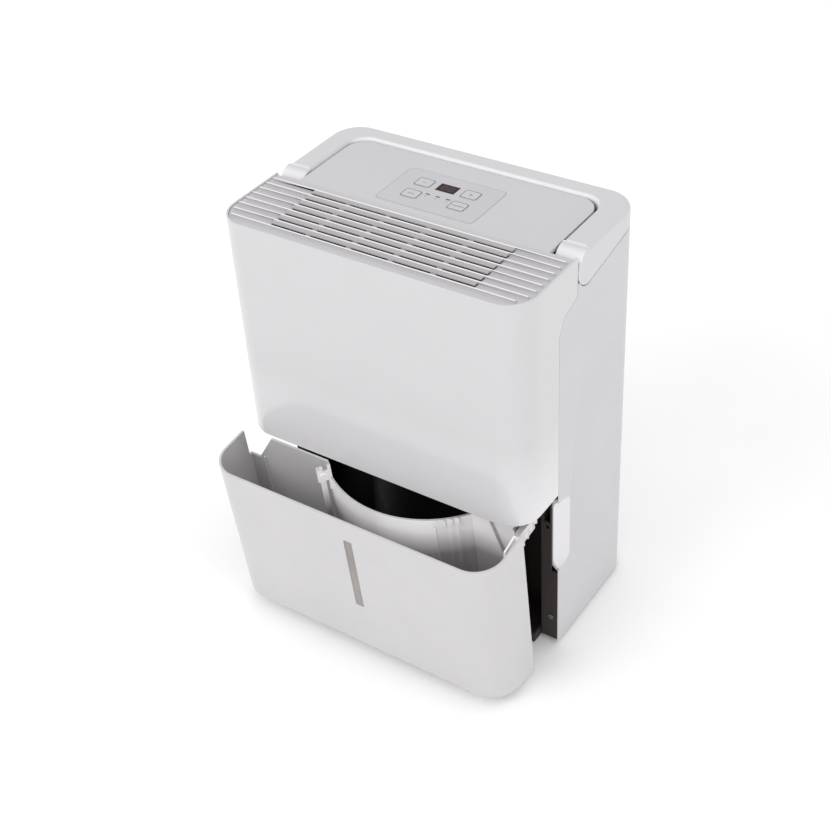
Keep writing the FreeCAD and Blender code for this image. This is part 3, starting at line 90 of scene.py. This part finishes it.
def ramp(tree, factor, low, high, ends):
    """A colour ramp between two colours over a range of the factor."""
    node = tree.nodes.new("ShaderNodeValToRGB")
    node.color_ramp.elements[0].position, node.color_ramp.elements[1].position = ends
    node.color_ramp.elements[0].color = (*low, 1)
    node.color_ramp.elements[1].color = (*high, 1)
    tree.links.new(factor, node.inputs["Fac"])
    return node.outputs["Color"]


def spread(tree, factor, low, high, start=0.3, end=0.7):
    """The factor mapped to a range of values."""
    node = tree.nodes.new("ShaderNodeMapRange")
    for socket, amount in zip(("From Min", "From Max", "To Min", "To Max"), (start, end, low, high)):
        node.inputs[socket].default_value = amount
    tree.links.new(factor, node.inputs["Value"])
    return node.outputs["Result"]


def joined(tree, operation, first, second):
    """The result of a math node on two values; the second may be a plain number."""
    node = tree.nodes.new("ShaderNodeMath")
    node.operation = operation
    tree.links.new(first, node.inputs[0])
    if isinstance(second, float):
        node.inputs[1].default_value = second
    else:
        tree.links.new(second, node.inputs[1])
    return node.outputs[0]


def bumps(tree, surface, height, strength, distance):
    node = tree.nodes.new("ShaderNodeBump")
    node.inputs["Strength"].default_value = strength
    node.inputs["Distance"].default_value = distance
    tree.links.new(height, node.inputs["Height"])
    tree.links.new(node.outputs["Normal"], surface.inputs["Normal"])


def along(tree, output, axis, start, end, source="ShaderNodeTexCoord"):
    """How far a coordinate has gone from start to end, between 0 and 1."""
    place = tree.nodes.new(source)
    parts = tree.nodes.new("ShaderNodeSeparateXYZ")
    tree.links.new(place.outputs[output], parts.inputs["Vector"])
    return spread(tree, parts.outputs[axis], 0, 1, start, end)


# ---------------------------------------------------------------- kinds of material

MOTTLE_SCALE = 14
SMEAR_SCALE = 55
GRAIN_DEEP = 0.08 * MM
STREAK_SCALE = 900
STREAK_DEEP = 0.05 * MM
STREAK_DARK, STREAK_LIGHT = 0.86, 1.08
WEAVE_DEEP = 0.3 * MM
WAVE_PERIOD = 0.314
HOLE_SHADE = 0.25


def moulded(name, colour, rough=0.4, vary=0.05, tone=0.02, grain=1800, relief=0.12, **values):
    """Moulded plastic: a faint mottle in the colour, uneven gloss and the fine grain of the mould."""
    material, tree, surface = shader(name, IOR=1.5, **values)
    mottle = noise(tree, MOTTLE_SCALE, 4)
    low = [max(0.0, part * (1 - tone)) for part in colour]
    high = [min(1.0, part * (1 + tone)) for part in colour]
    tree.links.new(ramp(tree, mottle, low, high, (0.35, 0.65)), surface.inputs["Base Color"])
    smear = noise(tree, SMEAR_SCALE, 5, 0.62)
    tree.links.new(spread(tree, smear, rough - vary, rough + vary), surface.inputs["Roughness"])
    bumps(tree, surface, noise(tree, grain, 2, 0.5), relief, GRAIN_DEEP)
    MATERIALS[name] = material


def metal(name, colour, rough=0.32, brushed=(1, 1, 1), vary=0.08):
    """Bare or plated metal with fine scratches along one direction."""
    material, tree, surface = shader(name, Metallic=1.0)
    streak = noise(tree, STREAK_SCALE, 4, 0.6, brushed)
    low = [part * STREAK_DARK for part in colour]
    high = [min(1.0, part * STREAK_LIGHT) for part in colour]
    tree.links.new(ramp(tree, streak, low, high, (0.3, 0.7)), surface.inputs["Base Color"])
    tree.links.new(spread(tree, streak, rough - vary, rough + vary), surface.inputs["Roughness"])
    bumps(tree, surface, streak, 0.2, STREAK_DEEP)
    MATERIALS[name] = material


def woven(name, colour, pitch):
    """Fine filter mesh: crossed threads with darker holes between them."""
    material, tree, surface = shader(name, Roughness=0.6)
    waves = []
    for axis in ("X", "Z"):
        node = tree.nodes.new("ShaderNodeTexWave")
        node.wave_type = "BANDS"
        node.bands_direction = axis
        node.inputs["Scale"].default_value = 1.0
        tree.links.new(object_space(tree, WAVE_PERIOD / pitch), node.inputs["Vector"])
        waves.append(node.outputs["Fac"])
    threads = joined(tree, "MAXIMUM", *waves)
    low = [part * HOLE_SHADE for part in colour]
    tree.links.new(ramp(tree, threads, low, colour, (0.45, 0.9)), surface.inputs["Base Color"])
    bumps(tree, surface, threads, 0.6, WEAVE_DEEP)
    MATERIALS[name] = material


# Places of the colour sockets on a mix node.
MIX_FACTOR, MIX_PLAIN, MIX_OTHER, MIX_RESULT = 0, 6, 7, 2


def shift(name, colour, *way):
    """Shift a finish towards a second colour along a coordinate."""
    tree = MATERIALS[name].node_tree
    surface = tree.nodes["Principled BSDF"]
    plain = surface.inputs["Base Color"].links[0].from_socket
    mix = tree.nodes.new("ShaderNodeMix")
    mix.data_type = "RGBA"
    tree.links.new(along(tree, *way), mix.inputs[MIX_FACTOR])
    tree.links.new(plain, mix.inputs[MIX_PLAIN])
    mix.inputs[MIX_OTHER].default_value = (*colour, 1)
    tree.links.new(mix.outputs[MIX_RESULT], surface.inputs["Base Color"])


def glow(name, strength, *way):
    """A glow that grows along a coordinate and stands in for light that passes through a thin wall."""
    tree = MATERIALS[name].node_tree
    light = joined(tree, "MULTIPLY", along(tree, *way), strength)
    tree.links.new(light, tree.nodes["Principled BSDF"].inputs["Emission Strength"])


# ---------------------------------------------------------------- the finishes

def outer_finishes():
    """The white shells and grilles, the handle and the bucket with its window and float."""
    moulded("cover_white", (0.572, 0.566, 0.578), rough=0.20, vary=0.04, tone=0.008, grain=700, relief=0.03,
            Coat_Weight=0.4, Coat_Roughness=0.06)
    moulded("casing_white", (0.550, 0.540, 0.558), rough=0.36, tone=0.012, grain=1600, relief=0.10)
    moulded("handle_white", (0.590, 0.580, 0.595), rough=0.34, tone=0.012, grain=1600, relief=0.10)
    moulded("grille_white", (0.525, 0.513, 0.527), rough=0.38, tone=0.012, grain=1600, relief=0.08)
    moulded("bucket_white", (0.565, 0.555, 0.563), rough=0.34, tone=0.015, grain=1500, relief=0.10,
            Subsurface_Weight=0.08, Subsurface_Scale=0.004)
    # Painted light: a lit copy of the bucket's white for the inside faces that face the front, with a colour
    # for its painted glow.
    moulded("bucket_inner_painted_light", (0.42, 0.405, 0.410), rough=0.34, tone=0.015, grain=1500, relief=0.10,
            Emission_Color=(1.0, 0.985, 0.99, 1.0))
    moulded("gauge_smoke", (0.27, 0.245, 0.235), rough=0.22, vary=0.06, tone=0.12, grain=1200, relief=0.05)
    moulded("float_foam", (0.60, 0.58, 0.53), rough=0.85, tone=0.08, grain=900, relief=0.7)


def panel_finishes():
    """The control panel, its membrane, keys, window, lamps and printed marks."""
    moulded("panel_white", (0.545, 0.540, 0.556), rough=0.36, tone=0.012, grain=1700)
    moulded("membrane_grey", (0.510, 0.508, 0.532), rough=0.28, vary=0.04, tone=0.01, grain=2600, relief=0.10)
    moulded("button_white", (0.530, 0.528, 0.550), rough=0.28, vary=0.04, tone=0.01, grain=2600, relief=0.10)
    moulded("window_smoke", (0.020, 0.013, 0.013), rough=0.25, vary=0.04, tone=0.15, grain=900, relief=0.03,
            Specular_IOR_Level=0.12)
    moulded("lamp_dark", (0.030, 0.030, 0.036), rough=0.25, tone=0.1, grain=1500, relief=0.05)
    moulded("print_grey", (0.125, 0.123, 0.135), rough=0.45, tone=0.08, grain=2200, relief=0.04)
    moulded("print_faint", (0.390, 0.386, 0.405), rough=0.45, tone=0.05, grain=2200, relief=0.04)
    moulded("segment_red", (0.085, 0.030, 0.028), rough=0.30, tone=0.1, grain=1500, relief=0.04)


def dark_finishes():
    """The bay and the base, the inner housings, the rubber parts, the gland, the fan and the air filter."""
    moulded("tub_dark", (0.006, 0.005, 0.005), rough=0.48, vary=0.08, tone=0.12, grain=1300, relief=0.25,
            Specular_IOR_Level=0.06)
    moulded("housing_grey", (0.100, 0.090, 0.090), rough=0.5, vary=0.06, tone=0.05, grain=1200, relief=0.25)
    moulded("foot_rubber", (0.02, 0.02, 0.02), rough=0.75, vary=0.08, tone=0.3, grain=1200, relief=0.35)
    moulded("gland_grey", (0.45, 0.45, 0.46), rough=0.6, vary=0.06, tone=0.05, grain=1200, relief=0.3)
    moulded("fan_grey", (0.075, 0.08, 0.085), rough=0.45, vary=0.06, tone=0.1, grain=1300, relief=0.2)
    woven("filter_black", (0.07, 0.07, 0.075), 1.2 * MM)


def machine_finishes():
    """The screws and pins, the compressor, the cooling circuit, the fan motor and the electrical parts."""
    metal("screw_steel", (0.26, 0.28, 0.255), rough=0.36)
    metal("pin_steel", (0.60, 0.60, 0.61), rough=0.22, brushed=(0.05, 1, 1))
    moulded("compressor_black", (0.012, 0.012, 0.013), rough=0.22, vary=0.08, tone=0.3, grain=400,
            Coat_Weight=0.4)
    metal("bracket_zinc", (0.50, 0.51, 0.50), rough=0.40)
    metal("coil_aluminium", (0.70, 0.71, 0.73), rough=0.36, brushed=(1, 1, 0.05))
    metal("pipe_copper", (0.72, 0.36, 0.22), rough=0.30)
    metal("motor_steel", (0.40, 0.40, 0.42), rough=0.38, brushed=(1, 0.05, 1))
    moulded("board_green", (0.03, 0.13, 0.05), rough=0.35, vary=0.06, tone=0.2, grain=900, relief=0.1)
    moulded("electric_black", (0.02, 0.02, 0.022), vary=0.06, tone=0.2, grain=1300, relief=0.2)
    metal("capacitor_grey", (0.55, 0.56, 0.58), rough=0.35, brushed=(1, 1, 0.05))


def painted_light_and_shade():
    """Painted light and shade: colours that change over the height, the width or the slant of a surface,
    lighter or darker where light falls or shade gathers.
    """
    cover_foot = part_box("front_cover")[0][2]
    bucket_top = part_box("water_bucket")[1][2]
    grille_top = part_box("outlet_grille")[1][2]
    bay_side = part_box("bay_partition")[1][0]
    scoop_painted_light = ("True Normal", "Y", -0.04, -0.14, "ShaderNodeNewGeometry")
    cover_foot_painted_light = ("Object", "Z", cover_foot + 102 * MM, cover_foot + 7 * MM)
    bucket_rim_painted_light = ("Object", "Z", bucket_top - 73.72 * MM, bucket_top - 37.72 * MM)
    slat_flanks_painted_shade = ("Object", "Z", grille_top - 1.2 * MM, grille_top - 0.6 * MM)
    slat_tops_painted_highlight = ("Object", "Z", grille_top - 0.36 * MM, grille_top - 0.1 * MM)
    handle_front_painted_highlight = ("Normal", "Y", -0.15, -0.55)
    bay_right_painted_light = ("Object", "X", bay_side - 82.8 * MM, bay_side - 27.8 * MM)
    # Painted light: the casing's scoop, slanting towards the front, is made lighter where light falls on it.
    shift("casing_white", (0.72, 0.705, 0.72), *scoop_painted_light)
    # Painted light: the cover's white grows lighter towards its foot, against the shade the bucket casts
    # there.
    shift("cover_white", (0.69, 0.68, 0.695), *cover_foot_painted_light)
    # Painted light: the bucket's inside grows lighter towards its rim, painted shade lower down.
    shift("bucket_inner_painted_light", (0.93, 0.915, 0.92), *bucket_rim_painted_light)
    # Painted shade: the slats' flanks, down in the slots, are made darker.
    shift("grille_white", (0.40, 0.385, 0.395), *slat_flanks_painted_shade)
    # Painted highlight: the slats' tops are made lighter.
    shift("grille_white", (0.80, 0.785, 0.80), *slat_tops_painted_highlight)
    # Painted highlight: the handle's rounds that face the front are made lighter.
    shift("handle_white", (0.78, 0.77, 0.785), *handle_front_painted_highlight)
    # Painted light: the bay's dark finish grows lighter towards its right-hand opening, with painted shade
    # deeper in.
    shift("tub_dark", (0.055, 0.046, 0.044), *bay_right_painted_light)
    # Painted glow on the bucket's inside towards its rim; no lamp is there.
    glow("bucket_inner_painted_light", 0.15, *bucket_rim_painted_light)


outer_finishes()
panel_finishes()
dark_finishes()
machine_finishes()
painted_light_and_shade()


# ---------------------------------------------------------------- pieces from the frame

SHARP = math.radians(31)
WELD = 0.002 * MM
FLAT = math.radians(0.4)
NEAR = 0.2 * MM


def settle(piece, node, slot=None, finish=None):
    """The piece stands for a node: it takes its finish and moves with its body."""
    slot = slot or SLOT_OF[node]
    piece.data.materials.clear()
    piece.data.materials.append(MATERIALS[finish or slot])
    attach(piece, BODY_OF[node])
    return piece


def soften(piece, width, segments, weigh):
    """Rounded edges that catch the light; weigh gives each sharp edge its share of the width."""
    mesh = piece.data
    mesh.shade_smooth()
    mesh.set_sharp_from_angle(angle=SHARP)
    bevel = piece.modifiers.new("edges", "BEVEL")
    bevel.width = width
    bevel.segments = segments
    bevel.harden_normals = True
    bevel.use_clamp_overlap = weigh is None
    if weigh is None:
        bevel.limit_method = "ANGLE"
        bevel.angle_limit = SHARP
    else:
        bevel.limit_method = "WEIGHT"
        weigh_edges(mesh, weigh)


def weigh_edges(mesh, weigh):
    shares = mesh.attributes.new("bevel_weight_edge", "FLOAT", "EDGE")
    work = bmesh.new()
    work.from_mesh(mesh)
    for index, edge in enumerate(work.edges):
        if len(edge.link_faces) == 2 and edge.calc_face_angle() > SHARP:
            shares.data[index].value = weigh([vertex.co for vertex in edge.verts])
    work.free()


def clean_copy(node):
    """A node's mesh with its flat faces joined into whole ones."""
    mesh = nodes[node].data.copy()
    mesh.name = f"{node}_skin"
    work = bmesh.new()
    work.from_mesh(mesh)
    bmesh.ops.remove_doubles(work, verts=work.verts, dist=WELD)
    bmesh.ops.dissolve_limit(work, angle_limit=FLAT, verts=work.verts, edges=work.edges)
    work.to_mesh(mesh)
    work.free()
    return mesh


def refined(node, width, segments=3, weigh=None):
    """A node with broken edges in place of the sharp ones."""
    piece = bpy.data.objects.new(f"{node}_skin", clean_copy(node))
    scene.collection.objects.link(piece)
    soften(piece, width, segments, weigh)
    settle(piece, node)
    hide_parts(node)
    return piece


HANDLE_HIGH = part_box("carry_handle")[1]
HANDLE_CORNER = 34.5 * MM
ARM_INNER = HANDLE_HIGH[0] - 28.8 * MM
BAR_DEEP = 24.8 * MM
RIM_ROUND = 6.5 * MM
OUTER_SHARE, INNER_SHARE, OTHER_SHARE = 1.0, 0.75, 0.12


def on_outer_rim(point):
    return abs(point.x) > HANDLE_HIGH[0] - NEAR or point.y > HANDLE_HIGH[1] - HANDLE_CORNER


def on_inner_rim(point):
    return abs(point.x) < ARM_INNER and point.y < HANDLE_HIGH[1] - BAR_DEEP


def handle_share(ends):
    """Wide round on the handle's outer rim, a softer one on its inner rim, a small one elsewhere."""
    if not all(point.z > HANDLE_HIGH[2] - NEAR for point in ends):
        return OTHER_SHARE
    outer = all(on_outer_rim(point) for point in ends) and not all(on_inner_rim(point) for point in ends)
    return OUTER_SHARE if outer else INNER_SHARE


BUCKET_TIP = -math.radians(JOINTS["bucket_tip"]["range_deg"][0])
BEHIND_FRONT = 40 * MM
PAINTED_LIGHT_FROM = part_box("water_bucket")[0][0] + 103 * MM
TOWARDS_FRONT = -0.1


def paint_light_inside_bucket(piece):
    """The arched wall, the float bracket and the pocket take the inner finish where they face the front:
    painted light, a lighter copy of the bucket's white.
    """
    back = Vector((0, math.cos(BUCKET_TIP), math.sin(BUCKET_TIP)))
    front = min(vertex.co.dot(back) for vertex in piece.data.vertices)
    piece.data.materials.append(MATERIALS["bucket_inner_painted_light"])
    for polygon in piece.data.polygons:
        inside = polygon.center.dot(back) > front + BEHIND_FRONT and polygon.center.x > PAINTED_LIGHT_FROM
        if inside and polygon.normal.dot(back) < TOWARDS_FRONT:
            polygon.material_index = 1


# Nodes that show another finish than their slot's own: the float's pin and arm take the bucket's inner finish
# with its painted light.
FINISH = {"float_pin": "bucket_inner_painted_light", "float_arm": "bucket_inner_painted_light"}
# Bevel widths. The bucket's skids are left out: beveled, they clash with its lugs when it stands upright.
EDGES_MM = {
    "rear_casing": 0.5, "front_cover": 0.7, "control_panel": 0.6, "water_bucket": 0.6,
    "bay_partition": 0.6, "intake_grille": 0.4, "base_pan": 0.5, "rubber_feet": 0.8, "outlet_grille": 0.5,
    "flange_screws": 0.2, "rear_screws": 0.2, "cord_inlet": 0.5, "drain_plug": 0.5,
    "button_down": 0.5, "button_up": 0.5, "button_mode": 0.5, "button_power": 0.5, "display_window": 0.2,
    "indicator_lights": 0.15, "level_window": 0.2, "top_deck": 0.5, "bay_ceiling": 0.4, "compressor": 0.5,
}


def dress(node):
    """Show a node as a refined piece, or as it is with its material."""
    if node == "carry_handle":
        refined(node, RIM_ROUND, 6, handle_share)
    elif node == "water_bucket":
        paint_light_inside_bucket(refined(node, EDGES_MM[node] * MM))
    elif node in EDGES_MM:
        refined(node, EDGES_MM[node] * MM)
    else:
        for entry in nodes[node].material_slots:
            entry.link = "OBJECT"
            entry.material = MATERIALS[FINISH.get(node, SLOT_OF[node])]


for node in nodes:
    dress(node)


# ---------------------------------------------------------------- printed marks on the control panel

INK = 0.06 * MM
LEAST_ROUND = 0.1 * MM
BAR_ROUND_SHARE = 0.3


def rounded(low, high, radius, steps=6):
    """Points round a rectangle with rounded corners."""
    points = []
    corners = ((high[0], high[1]), (low[0], high[1]), (low[0], low[1]), (high[0], low[1]))
    for corner, (x, y) in enumerate(corners):
        centre_x = x - radius if x == high[0] else x + radius
        centre_y = y - radius if y == high[1] else y + radius
        for step in range(steps + 1):
            turn = math.pi / 2 * (corner + step / steps)
            points.append((centre_x + radius * math.cos(turn), centre_y + radius * math.sin(turn)))
    return points


def printed(name, node, places, faces, finish):
    mesh = bpy.data.meshes.new(name)
    mesh.from_pydata(places, [], faces)
    piece = bpy.data.objects.new(name, mesh)
    scene.collection.objects.link(piece)
    return settle(piece, node, "lamp_dark", finish)


def printed_ring(name, node, inset, line, radius, finish):
    """A thin printed outline just inside the top face of a node."""
    low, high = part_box(node)
    inner_inset = inset + line
    outer = rounded([low[0] + inset, low[1] + inset], [high[0] - inset, high[1] - inset], radius)
    inner = rounded([low[0] + inner_inset, low[1] + inner_inset],
                    [high[0] - inner_inset, high[1] - inner_inset], max(radius - line, LEAST_ROUND))
    count = len(outer)
    levels = (high[2] - INK / 2, high[2] + INK / 2)
    places = [(x, y, z) for z in levels for loop in (outer, inner) for x, y in loop]
    faces = []
    up = 2 * count
    for here in range(count):
        after = (here + 1) % count
        inner_after, inner_here = count + after, count + here
        faces.append((inner_here, inner_after, after, here))
        faces.append((here + up, after + up, inner_after + up, inner_here + up))
        faces.append((here, after, after + up, here + up))
        faces.append((inner_after, inner_here, inner_here + up, inner_after + up))
    return printed(name, node, places, faces, finish)


def printed_bar(name, node, centre, size, finish):
    """A thin printed block on top of a node."""
    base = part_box(node)[1][2] - INK / 2
    corners = rounded([centre[0] - size[0] / 2, centre[1] - size[1] / 2],
                      [centre[0] + size[0] / 2, centre[1] + size[1] / 2], min(size) * BAR_ROUND_SHARE, 3)
    count = len(corners)
    places = [(x, y, z) for z in (base, base + INK) for x, y in corners]
    faces = [tuple(reversed(range(count))), tuple(range(count, 2 * count))]
    for here in range(count):
        after = (here + 1) % count
        faces.append((here, after, count + after, count + here))
    return printed(name, node, places, faces, finish)


def middle(node):
    low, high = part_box(node)
    return [(low[axis] + high[axis]) / 2 for axis in range(3)]


BUTTON_INSET, BUTTON_LINE, BUTTON_ROUND = 0.1 * MM, 0.75 * MM, 2.9 * MM
FILM_INSET, FILM_LINE, FILM_ROUND = 0.2 * MM, 0.5 * MM, 6 * MM
SIGN_LONG, SIGN_THICK, WORD_THICK = 4.5 * MM, 0.7 * MM, 0.9 * MM
MODE_LONG, POWER_LONG = 9 * MM, 14 * MM


def button_marks():
    """Outlines of the membrane and the keys, and a plain mark on each key."""
    printed_ring("membrane_outline", "control_membrane", FILM_INSET, FILM_LINE, FILM_ROUND, "print_faint")
    for key in ("button_down", "button_up", "button_mode", "button_power"):
        printed_ring(f"{key}_outline", key, BUTTON_INSET, BUTTON_LINE, BUTTON_ROUND, "print_grey")
    marks = (("minus_mark", "button_down", SIGN_LONG, SIGN_THICK),
             ("plus_mark_across", "button_up", SIGN_LONG, SIGN_THICK),
             ("plus_mark_along", "button_up", SIGN_THICK, SIGN_LONG),
             ("mode_mark", "button_mode", MODE_LONG, WORD_THICK),
             ("power_mark", "button_power", POWER_LONG, WORD_THICK))
    for name, key, long, thick in marks:
        printed_bar(name, key, middle(key), (long, thick), "print_grey")


LAMP_HALF = 2.5 * MM
LAMP_MARK = (3.2 * MM, 2.2 * MM)
LAMP_MARK_BELOW = 3.4 * MM


def lamp_marks():
    """A faint mark in front of each of the three lamps."""
    low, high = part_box("indicator_lights")
    pitch = (high[0] - low[0] - 2 * LAMP_HALF) / 2
    for index in range(3):
        centre = (low[0] + LAMP_HALF + index * pitch, low[1] - LAMP_MARK_BELOW)
        printed_bar(f"lamp_mark_{index}", "control_membrane", centre, LAMP_MARK, "print_faint")


DIGIT_PITCH = 8.5 * MM
BAR_PITCH = 3.6 * MM
BAR_SIZE = (4.6 * MM, 0.8 * MM)
SIDE_REACH = 2.6 * MM
SIDE_SIZE = (0.8 * MM, 7.2 * MM)


def display_digits():
    """Two unlit figures behind the window, each of three bars and two sides."""
    x, y, _ = middle("display_window")
    for digit in range(2):
        digit_x = x + (digit - 0.5) * DIGIT_PITCH
        for bar in range(3):
            centre = (digit_x, y + (bar - 1) * BAR_PITCH)
            printed_bar(f"segment_{digit}_{bar}", "display_window", centre, BAR_SIZE, "segment_red")
        for side in (-1, 1):
            name = f"segment_{digit}_side_{side + 1}"
            printed_bar(name, "display_window", (digit_x + side * SIDE_REACH, y), SIDE_SIZE, "segment_red")


button_marks()
lamp_marks()
display_digits()


# ---------------------------------------------------------------- stage, light and camera

FLOOR_REACH = 6.0
LIGHT_AIM = Vector((0, 0, 0.25))


def floor():
    """A wide plain floor that glows a little, which keeps it white."""
    mesh = bpy.data.meshes.new("floor")
    corners = [(x * FLOOR_REACH, y * FLOOR_REACH, 0) for x, y in ((-1, -1), (1, -1), (1, 1), (-1, 1))]
    mesh.from_pydata(corners, [], [(0, 1, 2, 3)])
    piece = bpy.data.objects.new("floor", mesh)
    scene.collection.objects.link(piece)
    material, tree, surface = shader("floor_white", Roughness=0.9, Specular_IOR_Level=0.1,
                                     Emission_Color=(1.0, 1.0, 1.0, 1.0), Emission_Strength=0.08)
    tree.links.new(ramp(tree, noise(tree, 3, 2), (0.93, 0.93, 0.93), (0.95, 0.95, 0.95), (0.4, 0.6)),
                   surface.inputs["Base Color"])
    mesh.materials.append(material)


def softbox(name, place, size, power):
    light = bpy.data.lights.new(name, "AREA")
    light.shape = "RECTANGLE"
    light.size, light.size_y = size
    light.energy = power
    lamp = bpy.data.objects.new(name, light)
    scene.collection.objects.link(lamp)
    lamp.location = place
    lamp.rotation_euler = (LIGHT_AIM - Vector(place)).to_track_quat("-Z", "Y").to_euler()


def surround(strength):
    world = bpy.data.worlds.new("studio")
    world.use_nodes = True
    background = world.node_tree.nodes["Background"]
    background.inputs["Color"].default_value = (1, 1, 1, 1)
    background.inputs["Strength"].default_value = strength
    scene.world = world


def camera(place, heading, tilt, lean, lens_mm):
    """The photograph's viewpoint: above the right front corner, with a slight lean."""
    lens = bpy.data.cameras.new("camera")
    lens.lens = lens_mm
    lens.sensor_width = 36
    view = bpy.data.objects.new("camera", lens)
    scene.collection.objects.link(view)
    turn = (Matrix.Rotation(math.radians(heading), 4, "Z") @ Matrix.Rotation(math.radians(tilt), 4, "X")
            @ Matrix.Rotation(math.radians(lean), 4, "Z"))
    view.matrix_world = Matrix.Translation(place) @ turn
    scene.camera = view


scene.view_settings.view_transform = "Standard"
floor()
surround(0.93)
softbox("key", place=(-0.9, -2.4, 2.4), size=(1.6, 1.6), power=26)
softbox("fill", place=(2.6, -0.6, 1.2), size=(0.8, 2.2), power=10)
camera(place=(0.7527, -1.0439, 1.2536), heading=36.03, tilt=52.23, lean=-4.02, lens_mm=63.46)
